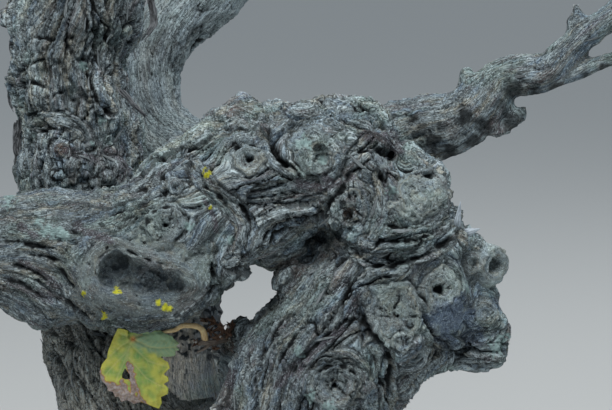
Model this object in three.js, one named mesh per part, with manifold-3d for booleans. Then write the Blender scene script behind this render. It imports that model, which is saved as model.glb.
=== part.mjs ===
// An old free-standing bush vine (grapevine), bare after leaf fall apart from one small leaf.
// A short flared trunk forks just above the ground. The front limb climbs to a knotted head, turns back over
// a small gap and runs out to the left as an arm. Behind it stand an upright limb, a weathered dead stub and
// a back stem that carries two thinner arms. Each arm ends in pruned spurs with a few canes.
// Millimetres, +Z up. The origin is the centre of the flat cut at ground level, and -Y is the front.
import * as THREE from "three";
import { mergeVertices } from "three/addons/utils/BufferGeometryUtils.js";
import Module from "manifold-3d";

const wasm = await Module();
wasm.setup();

const CLEARANCE = 0.3;
const RING_STEP = 19;
const GNARL_SHARE = 0.03; // of the radius, for each of the waves below

// Waves that swell and pinch all the old wood: a wave vector in radians per millimetre, and a phase.
const GNARL_WAVES = [
  [0.071, 0.02, 0.043, 0.4],
  [-0.038, 0.067, 0.059, 1.9],
  [0.052, -0.061, 0.085, 4.1],
  [0.118, 0.049, -0.071, 2.6],
  [-0.093, 0.104, 0.066, 5.2],
];

// The trunk's cords: rounded ropes of wood side by side that wind slowly up it, with creases between.
const CORDS = { count: 7, height: 0.1, twist: 0.008, sway: 0.6, swayLength: 75 };

// Root shoulders at the foot, as lobes round it, their share of the radius and their phase.
const SHOULDERS = [
  [5, 0.14, 0.6],
  [3, 0.07, 2],
];
const SHOULDER_HEIGHT = 60;

// Centre line and radius of each limb, as x, y, z, radius.
const TRUNK = [
  [0, 0, 0, 108],
  [2, 1, 28, 97],
  [6, 3, 75, 86],
  [8, 4, 130, 83],
  [8, 7, 185, 86],
  [8, 10, 228, 77],
  [8, 12, 258, 44],
];
const FRONT_LIMB = [
  [30, -5, 195, 57],
  [53, -14, 256, 62],
  [75, -17, 299, 60],
  [94, -12, 336, 61],
  [128, -5, 374, 62],
  [151, 2, 416, 61],
  [138, 8, 455, 57],
  [110, 12, 483, 55],
  [72, 14, 482, 55],
  [30, 11, 465, 58],
  [-16, 6, 437, 60],
  [-65, 2, 417, 53],
  [-115, 3, 420, 47],
  [-153, 4, 426, 41],
  [-197, 0, 435, 37],
  [-242, -2, 449, 34],
  [-275, 0, 473, 31],
  [-294, 7, 503, 29],
];
const STEM_END = 4; // the front limb's control points where the stem ends and the arm begins
const ARM_START = 8;
const BEND_PIVOT = new THREE.Vector3(72, 8, 421); // the rings of the bend fan out from here, in its gap
const LEFT_LIMB = [
  [-12, 12, 195, 48],
  [-38, 30, 252, 50],
  [-66, 53, 290, 46],
  [-80, 80, 329, 45],
  [-92, 100, 374, 46],
  [-101, 114, 425, 48],
  [-104, 122, 473, 50],
  [-106, 128, 518, 46],
  [-114, 133, 558, 46],
  [-103, 137, 602, 49],
  [-93, 142, 646, 44],
  [-89, 152, 690, 38],
  [-96, 163, 726, 32],
];
const DEAD_STUB = [
  [-4, 38, 205, 32],
  [-10, 54, 268, 31],
  [-14, 50, 322, 29],
  [-6, 34, 380, 18],
];
const BACK_STEM = [
  [6, 26, 195, 46],
  [28, 58, 238, 46],
  [62, 108, 272, 43],
  [100, 158, 318, 40],
  [122, 210, 385, 38],
  [114, 246, 445, 37],
];
const BACK_ARM = [
  [112, 248, 436, 33],
  [84, 262, 450, 34],
  [50, 277, 450, 34],
  [0, 300, 447, 32],
  [-42, 316, 463, 30],
  [-62, 327, 492, 28],
  [-64, 339, 530, 29],
  [-46, 351, 566, 30],
  [-13, 364, 595, 31],
  [17, 375, 631, 29],
  [28, 383, 677, 26],
];
const RIGHT_ARM = [
  [119, 250, 440, 32],
  [137, 251, 466, 32],
  [158, 249, 478, 30],
  [188, 241, 489, 26],
  [212, 233, 494, 26],
  [232, 228, 510, 22],
  [251, 224, 532, 18],
  [270, 216, 536, 18],
  [288, 210, 541, 17],
  [306, 206, 561, 13],
  [328, 202, 580, 12],
  [361, 196, 606, 12],
  [397, 193, 632, 11],
  [421, 193, 665, 10],
];
const CANE = [
  [291, 209, 535, 9],
  [308, 203, 539, 7],
  [329, 198, 550, 7.5],
  [361, 192, 559, 6],
  [409, 182, 574, 5.2],
  [457, 177, 599, 4.5],
];
const LEAF_SHOOT = [
  [42, 14, 354, 3],
  [22, 7, 356, 3],
  [13, -3, 357, 3],
  [5, -10, 359, 3],
  [3, -15, 367, 2.5],
  [-2, -19, 372, 2.2],
  [-10, -22, 373, 1.9],
  [-22, -25, 370, 1.4],
  [-49, -29, 366, 1.4],
];

const LIMBS = [TRUNK, FRONT_LIMB, LEFT_LIMB, DEAD_STUB, BACK_STEM, BACK_ARM, RIGHT_ARM, CANE];

// Swellings and the scar are placed as seen from VIEWPOINT, by x and z on a plane through VIEW_MIDDLE that
// faces it.
const VIEWPOINT = new THREE.Vector3(80, -1467, 720.5);
const VIEW_MIDDLE = new THREE.Vector3(80, 10, 460);

// Swellings on the old wood, as x, z and radius, and how far each stands out.
const STEM_KNOTS = [{ x: 102, z: 325, radius: 22, proud: 5 }];
const HEAD_KNOTS = [
  { x: 109, z: 452, radius: 21, proud: 6 },
  { x: 180, z: 397, radius: 24, proud: 7 },
  { x: 150, z: 376, radius: 23, proud: 6 },
];
const ARM_KNOTS = [
  { x: 91, z: 497, radius: 20, proud: 6 },
  { x: 37, z: 496, radius: 17, proud: 5 },
  { x: -23, z: 446, radius: 17, proud: 5 },
  { x: 24, z: 421, radius: 14, proud: 6 },
  { x: -118, z: 391, radius: 22, proud: 8 },
];
const LEFT_KNOTS = [
  { x: -84, z: 464, radius: 24, proud: 12 },
  { x: -60, z: 475, radius: 17, proud: 8 },
  { x: -82, z: 512, radius: 15, proud: 5 },
];
const RIGHT_KNOTS = [
  { x: 200, z: 472, radius: 17, proud: 9 },
  { x: 277, z: 531, radius: 14, proud: 6 },
];

// Larger bosses that show in the outline, as x, y, z, radius.
const STEM_BOSSES = [
  [86, -4, 387, 25], // the lip below the gap
  [47, -8, 342, 29], // the stem's left shoulder
  [57, -6, 369, 21],
  [150, -8, 360, 40],
];
const HEAD_BOSSES = [
  [164, 6, 463, 26], // the smooth right shoulder
  [203, -4, 379, 27],
  [90, 14, 431, 20], // the bulge above the gap's right end
];
const ARM_BOSSES = [[27, 8, 522, 25]]; // the peak on the arm's back

// The large oval pruning scar on the front arm: a rotten hollow inside a rolled callus rim.
const SCAR = { x: -64, z: 409, halfWidth: 33, halfHeight: 18, rim: 11, depth: 16, tilt: 0.1 };

// Pruned spurs left as short cut stubs: from and to as x, y, z, radius.
const HEAD_STUBS = [
  [[196, 0, 420, 16], [223, -30, 421, 14]],
  [[188, 0, 424, 13], [199, -28, 424, 8.5]],
  [[178, -8, 362, 21], [230, -20, 355, 11.5]],
];
const RIGHT_STUBS = [
  [[236, 226, 505, 7], [262, 222, 502, 5.5]],
  [[222, 230, 512, 7], [224, 228, 532, 4.5]],
  [[312, 204, 568, 6], [303, 202, 587, 4]],
];

// Pruned spurs and canes at the end of each arm.
const TWIG_RULE = {
  knuckle: 46,
  spurs: 4,
  spurLength: [40, 66],
  spurRadius: 7,
  caneLength: [120, 235],
  caneRadius: 4.4,
  nodeSpacing: 42,
  zigzag: 0.13,
  spaceHalfWidth: 165,
  spaceHalfHeight: 200,
  spaceAhead: 150, // from the bough's tip to the middle of the mass's own space
};

const KNUCKLE_SHAPE = [
  [0, 1],
  [0.35, 1.12],
  [0.75, 0.92],
  [1, 0.5],
]; // share of its length, width as a share of the bough's

// The leaf hangs from the shoot's end. Its outline is given across and down from there.
const LEAF = {
  thickness: 1.2,
  junction: new THREE.Vector3(-49, -31, 365),
  across: new THREE.Vector3(1, 0.06, 0),
  down: new THREE.Vector3(0, 0.08, -1),
  fold: 0.13, // how far each half turns back from the middle vein, as a slope
  veinSlant: 0.1, // the middle vein runs a little to the left as it goes down
  rings: 3,
  hole: { across: -5, down: 26.5, halfWidth: 3.2, halfHeight: 4.2, through: 30 },
  outline: [
    [-11, -8], [-16, 1.5], [-19.5, 13], [-25, 25], [-24, 31], [-19, 39], [-13.5, 43.5],
    [-9, 47], [1, 48], [12, 49.5], [19.5, 52.5], [21, 43.5], [26, 37.5], [24, 33.5],
    [27, 31], [24, 26.5], [27.5, 22], [23.5, 16], [20.5, 13], [26, 13.5], [32, 12.5],
    [32, 9], [35, 8], [32, 5], [35, 3.5], [31, 0], [24, -4], [20, -7],
    [19.5, -11], [9, -10.5], [0, -8.5], [-4, -6.5], [-7.5, -7.5],
  ],
};

const UP = new THREE.Vector3(0, 0, 1);

// A closed three.js geometry as a solid that can be joined and cut.
function solidOf(geometry) {
  const bare = new THREE.BufferGeometry();
  bare.setAttribute("position", geometry.getAttribute("position"));
  bare.setIndex(geometry.index);
  const merged = mergeVertices(bare, 1e-3);
  return new wasm.Manifold(
    new wasm.Mesh({
      numProp: 3,
      vertProperties: new Float32Array(merged.attributes.position.array),
      triVerts: new Uint32Array(merged.index.array),
    }),
  );
}

// The largest piece of a solid, as a three.js geometry. Loose scraps from a cut are dropped.
function geometryOf(solid) {
  const pieces = solid.decompose();
  const largest = pieces.reduce((a, b) => (b.volume() > a.volume() ? b : a));
  const mesh = largest.getMesh();
  const geometry = new THREE.BufferGeometry();
  const positions = [];
  for (let i = 0; i < mesh.numVert; i++)
    positions.push(...mesh.vertProperties.subarray(i * mesh.numProp, i * mesh.numProp + 3));
  geometry.setAttribute("position", new THREE.Float32BufferAttribute(positions, 3));
  geometry.setIndex([...mesh.triVerts]);
  geometry.computeVertexNormals();
  return geometry;
}

function join(solids) {
  return solids.reduce((a, b) => a.add(b));
}

function gnarl(p) {
  const waves = GNARL_WAVES.map(([kx, ky, kz, phase]) => Math.sin(kx * p.x + ky * p.y + kz * p.z + phase));
  return 1 + GNARL_SHARE * waves.reduce((a, b) => a + b);
}

// A smooth centre line through control points, read at a place counted in control points.
function centreLine(points) {
  const last = points.length - 1;
  const ends = (i) => points[Math.min(Math.max(i, 0), last)];
  const curve = new THREE.CatmullRomCurve3(
    points.map(([x, y, z]) => new THREE.Vector3(x, y, z)),
    false,
    "catmullrom",
    0.5,
  );
  return {
    last,
    at: (place) => curve.getPoint(place / last),
    along: (place) => curve.getTangent(place / last),
    radius: (place) => {
      const i = Math.min(Math.floor(place), last - 1);
      const share = place - i;
      return THREE.MathUtils.lerp(ends(i)[3], ends(i + 1)[3], share);
    },
  };
}

// Rings of a limb from one place to another, each with its centre, normal and radius.
function ringsOf(line, from, to, pivot) {
  const rings = [];
  for (let place = from; place < to - 1e-6; ) {
    rings.push(place);
    const span = line.at(Math.min(place + 0.5, line.last)).distanceTo(line.at(place)) * 2;
    place += Math.max(RING_STEP / Math.max(span, RING_STEP), 0.2);
  }
  if (to - rings.at(-1) < 0.15 && rings.length > 1) rings.pop();
  rings.push(to);
  return rings.map((place) => {
    const centre = line.at(place);
    const normal = line.along(place);
    if (pivot) {
      const arm = centre.clone().sub(pivot).setY(0);
      const fan = new THREE.Vector3().crossVectors(arm, new THREE.Vector3(0, 1, 0)).normalize();
      if (fan.dot(normal) < 0) fan.negate();
      const near = 1 - THREE.MathUtils.smoothstep(Math.abs(place - (STEM_END + ARM_START) / 2), 3, 5);
      normal.lerp(fan, near).normalize();
    }
    return { centre, normal, radius: line.radius(place) };
  });
}

// Joins rings of equal sides into a closed tube with flat ends. shape(point, ring) scales the radius.
function loft(rings, sides, shape) {
  const positions = [];
  const index = [];
  let side = new THREE.Vector3(0, -1, 0);
  for (const ring of rings) {
    side = side.clone().addScaledVector(ring.normal, -side.dot(ring.normal)).normalize();
    const other = new THREE.Vector3().crossVectors(ring.normal, side);
    for (let j = 0; j < sides; j++) {
      const angle = (j / sides) * 2 * Math.PI;
      const out = side.clone().multiplyScalar(Math.cos(angle)).addScaledVector(other, Math.sin(angle));
      const rough = ring.centre.clone().addScaledVector(out, ring.radius);
      const reach = ring.radius * shape(rough, ring, angle) + (ring.extra ?? 0);
      positions.push(...ring.centre.clone().addScaledVector(out, reach).toArray());
    }
  }
  for (let i = 0; i + 1 < rings.length; i++)
    for (let j = 0; j < sides; j++) {
      const [a, b] = [i * sides + j, i * sides + ((j + 1) % sides)];
      index.push(a, b, b + sides, a, b + sides, a + sides);
    }
  for (const [ring, first, turn] of [
    [rings[0], 0, false],
    [rings.at(-1), (rings.length - 1) * sides, true],
  ]) {
    const middle = positions.length / 3;
    positions.push(...ring.centre.toArray());
    for (let j = 0; j < sides; j++) {
      const [a, b] = [first + j, first + ((j + 1) % sides)];
      index.push(...(turn ? [middle, a, b] : [middle, b, a]));
    }
  }
  const geometry = new THREE.BufferGeometry();
  geometry.setAttribute("position", new THREE.Float32BufferAttribute(positions, 3));
  geometry.setIndex(index);
  return solidOf(geometry);
}

// A limb as a function of how much thicker and longer it is made, so that a neighbour can be cut clear of it.
function limb(points, options = {}) {
  const { sides = 14, from = 0, to, pivot, shape = gnarl, finish } = options;
  const { knots = [], bosses = [], stubs = [] } = options;
  const line = centreLine(points);
  return (extra = 0) => {
    const rings = ringsOf(line, from, to ?? line.last, pivot);
    for (const ring of rings) ring.extra = extra;
    rings[0].centre.addScaledVector(rings[0].normal, -extra);
    rings.at(-1).centre.addScaledVector(rings.at(-1).normal, extra);
    let body = join([
      loft(rings, sides, shape),
      ...knots.map((knot) => swelling(line, knot, extra)),
      ...bosses.map(([x, y, z, radius]) => ball(new THREE.Vector3(x, y, z), radius + extra, 12, 7)),
      ...stubs.map((stub) => stubOf(stub, extra)),
    ]);
    if (finish) body = finish(body, line, extra);
    return body;
  };
}

// The line of sight to a place given by x and z, as its start and its way.
function sightTo(x, z) {
  const facing = VIEW_MIDDLE.clone().sub(VIEWPOINT);
  const rise = (z - VIEW_MIDDLE.z) * (-facing.z / facing.y);
  const way = new THREE.Vector3(x, VIEW_MIDDLE.y + rise, z).sub(VIEWPOINT).normalize();
  return new THREE.Ray(VIEWPOINT, way);
}

// Where that line meets a limb, taking the limb as a chain of balls. Past the limb's edge it is the nearest
// point to the centre line.
function frontOf(line, x, z) {
  const sight = sightTo(x, z);
  const front = { distance: Infinity };
  const beside = { gap: Infinity };
  for (let place = 0; place <= line.last; place += 0.1) {
    const centre = line.at(place);
    const ahead = centre.clone().sub(VIEWPOINT).dot(sight.direction);
    const gap = sight.distanceToPoint(centre);
    const half = line.radius(place) ** 2 - gap ** 2;
    if (half > 0) front.distance = Math.min(front.distance, ahead - Math.sqrt(half));
    if (gap < beside.gap) Object.assign(beside, { gap, distance: ahead });
  }
  const distance = Number.isFinite(front.distance) ? front.distance : beside.distance;
  return { face: sight.at(distance, new THREE.Vector3()), inwards: sight.direction };
}

function ball(centre, radius, wide = 9, high = 6) {
  const geometry = new THREE.SphereGeometry(radius, wide, high);
  geometry.translate(centre.x, centre.y, centre.z);
  return solidOf(geometry);
}

function swelling(line, { x, z, radius, proud }, extra) {
  const { face, inwards } = frontOf(line, x, z);
  return ball(face.addScaledVector(inwards, radius - proud), radius + extra);
}

// A short cut spur between two places.
function stubOf([from, to], extra) {
  const ends = [from, to].map(([x, y, z]) => new THREE.Vector3(x, y, z));
  const normal = ends[1].clone().sub(ends[0]).normalize();
  const rings = [0, 0.5, 1].map((share) => ({
    centre: ends[0].clone().lerp(ends[1], share),
    normal,
    radius: THREE.MathUtils.lerp(from[3], to[3], share),
    extra,
  }));
  rings.at(-1).centre.addScaledVector(normal, extra);
  return loft(rings, 8, () => 1);
}

// The callus rim stands round the scar, and the hollow is cut inside it.
function addScar(body, line, extra) {
  const { face } = frontOf(line, SCAR.x, SCAR.z);
  const lay = (geometry, sink) => {
    geometry.rotateX(Math.PI / 2);
    geometry.rotateY(SCAR.tilt);
    geometry.translate(face.x, face.y + sink, face.z);
    return solidOf(geometry);
  };
  const rim = new THREE.TorusGeometry(1, 0.36, 6, 20);
  rim.scale(SCAR.halfWidth + SCAR.rim / 2, SCAR.halfHeight + SCAR.rim, SCAR.rim * 2);
  const hollow = new THREE.SphereGeometry(1, 14, 8);
  hollow.scale(SCAR.halfWidth - extra, SCAR.halfHeight - extra, SCAR.depth - extra);
  return body.add(lay(rim, SCAR.rim * 0.75)).subtract(lay(hollow, 0));
}

// The trunk's foot spreads into root shoulders, which fade out above the ground, and cords wind up it.
function flutedTrunk(p, ring, angle) {
  const height = Math.max(ring.centre.z, 0);
  const lobes = SHOULDERS.map(([count, share, phase]) => share * Math.cos(count * angle + phase));
  const foot = Math.exp(-height / SHOULDER_HEIGHT) * lobes.reduce((a, b) => a + b);
  const turn = CORDS.twist * height + CORDS.sway * Math.sin(height / CORDS.swayLength);
  const cord = Math.abs(Math.cos((CORDS.count * angle) / 2 + turn)) - 2 / Math.PI;
  return gnarl(p) + foot + CORDS.height * cord;
}

// Park and Miller's generator, so that the same twigs grow each time.
function randomOf(seed) {
  let state = seed;
  return (low = 0, high = 1) => {
    state = (state * 16807) % 2147483647;
    return low + ((high - low) * state) / 2147483647;
  };
}

// One twig as rings, bending towards a direction as it grows, with a small zigzag at its nodes.
function twigRings(start, direction, length, fromRadius, toRadius, towards, zigzag) {
  const steps = Math.max(2, Math.round(length / TWIG_RULE.nodeSpacing) + 1);
  const heading = direction.clone().normalize();
  const swing = new THREE.Vector3().crossVectors(heading, UP).normalize();
  const rings = [];
  const centre = start.clone();
  for (let i = 0; i <= steps; i++) {
    const radius = THREE.MathUtils.lerp(fromRadius, toRadius, i / steps);
    rings.push({ centre: centre.clone(), normal: heading.clone(), radius });
    heading.lerp(towards, 0.12).addScaledVector(swing, i % 2 ? zigzag : -zigzag).normalize();
    centre.addScaledVector(heading, length / steps);
  }
  return rings;
}

// Whether a twig keeps inside its mass's own space and clear of every limb.
function keepsClear(rings, middle) {
  const { spaceHalfWidth, spaceHalfHeight } = TWIG_RULE;
  return rings.slice(2).every(({ centre, radius }) => {
    const off = centre.clone().sub(middle);
    if (Math.hypot(off.x / spaceHalfWidth, off.y / spaceHalfWidth, off.z / spaceHalfHeight) > 1) return false;
    return LIMBS.every((points) =>
      points.every(([x, y, z, thick]) => centre.distanceTo(new THREE.Vector3(x, y, z)) > thick + radius + 5),
    );
  });
}

// Twigs on a bough's end: a knuckle of old wood, cut spurs round it, and one or two canes on each spur.
function twigMass(seed, points, towards) {
  const random = randomOf(seed);
  const line = centreLine(points);
  const tip = line.at(line.last);
  const heading = line.along(line.last);
  const thick = line.radius(line.last);
  const aim = new THREE.Vector3(...towards).normalize();
  const middle = tip.clone().addScaledVector(aim, TWIG_RULE.spaceAhead);
  const knuckle = KNUCKLE_SHAPE.map(([share, width]) => ({
    centre: tip.clone().addScaledVector(heading, CLEARANCE + share * TWIG_RULE.knuckle),
    normal: heading,
    radius: thick * width,
  }));
  const solids = [loft(knuckle, 10, gnarl)];
  const grow = (rings, sides) => {
    const fits = keepsClear(rings, middle);
    if (fits) solids.push(loft(rings, sides, () => 1));
    return fits;
  };
  const across = new THREE.Vector3().crossVectors(heading, new THREE.Vector3(0.3, 1, 0.2)).normalize();
  for (let i = 0; i < TWIG_RULE.spurs; i++) {
    const turn = ((i + random(-0.2, 0.2)) / TWIG_RULE.spurs) * 2 * Math.PI;
    const out = across.clone().applyAxisAngle(heading, turn);
    const root = tip.clone().addScaledVector(heading, TWIG_RULE.knuckle * random(0.4, 0.75));
    const spurWay = heading.clone().multiplyScalar(0.7).add(out).addScaledVector(aim, 0.45).normalize();
    const reach = random(...TWIG_RULE.spurLength) + thick;
    const spur = twigRings(root, spurWay, reach, TWIG_RULE.spurRadius * 1.3, TWIG_RULE.spurRadius, aim, 0.03);
    const canes = random() < 0.55 ? 2 : 1;
    if (!grow(spur, 6)) continue;
    for (let k = 0; k < canes; k++) {
      const joint = spur.at(-1 - k).centre.clone().addScaledVector(spurWay, -4);
      const side = out.clone().applyAxisAngle(heading, k ? 1.5 : -0.6);
      const caneWay = spurWay.clone().add(aim).addScaledVector(side, 0.7).normalize();
      const length = random(...TWIG_RULE.caneLength);
      const radius = TWIG_RULE.caneRadius * random(0.85, 1.1);
      grow(twigRings(joint, caneWay, length, radius, radius * 0.55, aim, TWIG_RULE.zigzag), 5);
    }
  }
  return join(solids);
}

// A thin blade of rings that shrink towards the junction, folded back a little on both sides of the middle.
function leafBlade() {
  const { rings, outline, hole } = LEAF;
  const spokes = outline.length;
  const facing = new THREE.Vector3().crossVectors(LEAF.down, LEAF.across).normalize();
  const place = (across, down, lift) =>
    LEAF.junction
      .clone()
      .addScaledVector(LEAF.across, across)
      .addScaledVector(LEAF.down, down)
      .addScaledVector(facing, lift - LEAF.fold * Math.abs(across + LEAF.veinSlant * down));
  const positions = [];
  const index = [];
  for (const lift of [LEAF.thickness / 2, -LEAF.thickness / 2]) {
    positions.push(...place(0, 0, lift).toArray());
    for (let i = 1; i <= rings; i++)
      for (const [across, down] of outline)
        positions.push(...place((across * i) / rings, (down * i) / rings, lift).toArray());
  }
  const side = 1 + rings * spokes;
  for (let j = 0; j < spokes; j++) {
    const next = (j + 1) % spokes;
    index.push(0, 1 + j, 1 + next, side, side + 1 + next, side + 1 + j);
    for (let i = 0; i + 1 < rings; i++) {
      const [a, b] = [1 + i * spokes + j, 1 + i * spokes + next];
      index.push(a, a + spokes, b + spokes, a, b + spokes, b);
      index.push(side + a, side + b + spokes, side + a + spokes, side + a, side + b, side + b + spokes);
    }
    const [a, b] = [1 + (rings - 1) * spokes + j, 1 + (rings - 1) * spokes + next];
    index.push(a, side + a, side + b, a, side + b, b);
  }
  const geometry = new THREE.BufferGeometry();
  geometry.setAttribute("position", new THREE.Float32BufferAttribute(positions, 3));
  geometry.setIndex(index);
  const punch = new THREE.CylinderGeometry(1, 1, hole.through, 8);
  punch.scale(hole.halfWidth, 1, hole.halfHeight);
  punch.translate(...place(hole.across, hole.down, 0).toArray());
  return solidOf(geometry).subtract(solidOf(punch));
}

function leafShoot() {
  const rings = ringsOf(centreLine(LEAF_SHOOT), 0, LEAF_SHOOT.length - 1);
  return loft(rings, 7, () => 1).add(leafBlade());
}

const vine = new THREE.Group();
vine.name = "grapevine";

const BARK = new THREE.MeshStandardMaterial({ color: 0x4c575b, roughness: 0.95, metalness: 0 });
const DEAD_WOOD = new THREE.MeshStandardMaterial({ color: 0x5c6b76, roughness: 0.85, metalness: 0 });
const CANE_BARK = new THREE.MeshStandardMaterial({ color: 0x6a5a4c, roughness: 0.8, metalness: 0 });
const LEAF_GREEN = new THREE.MeshStandardMaterial({ color: 0x7d8542, roughness: 0.6, metalness: 0 });

function addPart(name, solid, material) {
  const mesh = new THREE.Mesh(geometryOf(solid), material);
  mesh.name = name;
  vine.add(mesh);
}

function cutClear(solid, ...neighbours) {
  return neighbours.reduce((body, neighbour) => body.subtract(neighbour(CLEARANCE)), solid);
}

const trunk = limb(TRUNK, { sides: 70, shape: flutedTrunk });
const frontStem = limb(FRONT_LIMB, {
  sides: 18,
  to: STEM_END,
  pivot: BEND_PIVOT,
  knots: STEM_KNOTS,
  bosses: STEM_BOSSES,
});
const frontHead = limb(FRONT_LIMB, {
  sides: 18,
  from: STEM_END,
  to: ARM_START,
  pivot: BEND_PIVOT,
  knots: HEAD_KNOTS,
  bosses: HEAD_BOSSES,
  stubs: HEAD_STUBS,
});
const frontArm = limb(FRONT_LIMB, {
  sides: 18,
  from: ARM_START,
  pivot: BEND_PIVOT,
  knots: ARM_KNOTS,
  bosses: ARM_BOSSES,
  finish: addScar,
});
const leftLimb = limb(LEFT_LIMB, { sides: 15, knots: LEFT_KNOTS });
const deadStub = limb(DEAD_STUB, { sides: 12 });
const backStem = limb(BACK_STEM, { sides: 13 });
const backArm = limb(BACK_ARM, { sides: 11 });
const rightArm = limb(RIGHT_ARM, { sides: 10, knots: RIGHT_KNOTS, stubs: RIGHT_STUBS });
const cane = limb(CANE, { sides: 7, shape: () => 1 });

addPart("trunk", trunk().trimByPlane([0, 0, 1], 0), BARK);
addPart("front_stem", cutClear(frontStem(), trunk), BARK);
addPart("front_head", cutClear(frontHead(), frontStem), BARK);
addPart("front_arm", cutClear(frontArm(), frontHead, frontStem), BARK);
addPart("left_limb", cutClear(leftLimb(), trunk, frontStem, frontArm), BARK);
addPart("dead_stub", cutClear(deadStub(), trunk, frontStem, frontArm, leftLimb), DEAD_WOOD);
addPart("back_stem", cutClear(backStem(), trunk, frontStem, leftLimb, deadStub), BARK);
addPart("back_arm", cutClear(backArm(), backStem), BARK);
addPart("right_arm", cutClear(rightArm(), backStem, backArm), BARK);
addPart("right_cane", cutClear(cane(), rightArm), CANE_BARK);
addPart("front_arm_twigs", twigMass(11, FRONT_LIMB, [-0.6, -0.1, 1]), CANE_BARK);
addPart("left_limb_twigs", twigMass(23, LEFT_LIMB, [-0.3, -0.1, 1]), CANE_BARK);
addPart("back_arm_twigs", twigMass(37, BACK_ARM, [0.1, 0.35, 1]), CANE_BARK);
addPart("right_arm_twigs", twigMass(53, RIGHT_ARM, [0.45, -0.1, 1]), CANE_BARK);
addPart("leaf_shoot", cutClear(leafShoot(), frontStem, frontArm, deadStub), LEAF_GREEN);

export default vine;
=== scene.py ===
"""An old bush vine in close view: furrowed bark that flows round pruning scars, bare canes and one leaf.

Lengths are in millimetres until a mesh is made. +Z is up and the front faces -Y, as in the solids.
"""

import math

import bpy
import numpy as np
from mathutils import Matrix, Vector
from mathutils.geometry import delaunay_2d_cdt


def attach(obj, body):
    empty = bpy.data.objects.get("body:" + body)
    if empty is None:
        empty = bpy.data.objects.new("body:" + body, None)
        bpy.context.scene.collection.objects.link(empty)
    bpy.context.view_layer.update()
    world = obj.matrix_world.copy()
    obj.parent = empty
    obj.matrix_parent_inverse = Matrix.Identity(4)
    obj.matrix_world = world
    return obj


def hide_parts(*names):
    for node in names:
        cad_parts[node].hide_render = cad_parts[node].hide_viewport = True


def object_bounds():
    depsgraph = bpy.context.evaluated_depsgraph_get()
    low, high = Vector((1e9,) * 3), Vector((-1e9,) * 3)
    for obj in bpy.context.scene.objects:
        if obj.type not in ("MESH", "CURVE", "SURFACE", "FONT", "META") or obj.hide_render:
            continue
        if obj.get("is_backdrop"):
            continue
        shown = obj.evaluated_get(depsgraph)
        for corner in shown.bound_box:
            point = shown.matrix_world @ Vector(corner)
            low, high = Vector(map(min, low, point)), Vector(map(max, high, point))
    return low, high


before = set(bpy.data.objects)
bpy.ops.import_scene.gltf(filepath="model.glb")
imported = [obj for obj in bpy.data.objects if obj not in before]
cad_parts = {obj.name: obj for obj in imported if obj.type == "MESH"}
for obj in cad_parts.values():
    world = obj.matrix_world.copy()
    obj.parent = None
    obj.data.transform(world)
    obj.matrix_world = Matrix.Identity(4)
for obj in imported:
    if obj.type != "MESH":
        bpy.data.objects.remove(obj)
cad_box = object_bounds()

# The camera looks at the arched limb from a little above. A place in the picture is given in its pixels.
TARGET = np.array([80.0, 10.0, 460.0])
ELEVATION = math.radians(10)
DISTANCE = 1500.0
PIXEL = 0.76  # mm at the target
PICTURE = (612, 410)
LOOK = np.array([0.0, math.cos(ELEVATION), -math.sin(ELEVATION)])
RISE = np.array([0.0, math.sin(ELEVATION), math.cos(ELEVATION)])
EYE = TARGET - DISTANCE * LOOK

VOXEL = 2.3

# Centre line and radius of each limb, as x, y, z, radius, the same as in the solids.
TRUNK = [
    [0, 0, 0, 108], [2, 1, 28, 97], [6, 3, 75, 86], [8, 4, 130, 83], [8, 7, 185, 86], [8, 10, 228, 77],
    [8, 12, 258, 44],
]
FRONT_LIMB = [
    [30, -5, 195, 57], [53, -14, 256, 62], [75, -17, 299, 60], [94, -12, 336, 61], [128, -5, 374, 62],
    [151, 2, 416, 61], [138, 8, 455, 57], [110, 12, 483, 55], [72, 14, 482, 55], [30, 11, 465, 58],
    [-16, 6, 437, 60], [-65, 2, 417, 53], [-115, 3, 420, 47], [-153, 4, 426, 41], [-197, 0, 435, 37],
    [-242, -2, 449, 34], [-275, 0, 473, 31], [-294, 7, 503, 29],
]
LEFT_LIMB = [
    [-12, 12, 195, 48], [-38, 30, 252, 50], [-66, 53, 290, 46], [-80, 80, 329, 45], [-92, 100, 374, 46],
    [-101, 114, 425, 48], [-104, 122, 473, 50], [-106, 128, 518, 46], [-114, 133, 558, 46],
    [-103, 137, 602, 49], [-93, 142, 646, 44], [-89, 152, 690, 38], [-96, 163, 726, 32],
]
DEAD_STUB = [[-4, 38, 205, 32], [-10, 54, 268, 31], [-14, 50, 322, 29], [-6, 34, 380, 18]]
BACK_STEM = [
    [6, 26, 195, 46], [28, 58, 238, 46], [62, 108, 272, 43], [100, 158, 318, 40], [122, 210, 385, 38],
    [114, 246, 445, 37],
]
BACK_ARM = [
    [112, 248, 436, 33], [84, 262, 450, 34], [50, 277, 450, 34], [0, 300, 447, 32], [-42, 316, 463, 30],
    [-62, 327, 492, 28], [-64, 339, 530, 29], [-46, 351, 566, 30], [-13, 364, 595, 31], [17, 375, 631, 29],
    [28, 383, 677, 26],
]
RIGHT_ARM = [
    [119, 250, 440, 32], [137, 251, 466, 32], [158, 249, 478, 30], [188, 241, 489, 26], [212, 233, 494, 26],
    [232, 228, 510, 22], [251, 224, 532, 18], [270, 216, 536, 18], [288, 210, 541, 17], [306, 206, 561, 13],
    [328, 202, 580, 12], [361, 196, 606, 12], [397, 193, 632, 11], [421, 193, 665, 10],
]
CANE = [
    [291, 209, 535, 9], [308, 203, 539, 7], [329, 198, 550, 7.5], [361, 192, 559, 6], [409, 182, 574, 5.2],
    [457, 177, 599, 4.5],
]
LIMB_POINTS = {
    "trunk": TRUNK, "front": FRONT_LIMB, "left_limb": LEFT_LIMB, "dead_stub": DEAD_STUB,
    "back_stem": BACK_STEM, "back_arm": BACK_ARM, "right_arm": RIGHT_ARM, "right_cane": CANE,
}
NAMES = list(LIMB_POINTS)
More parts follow.
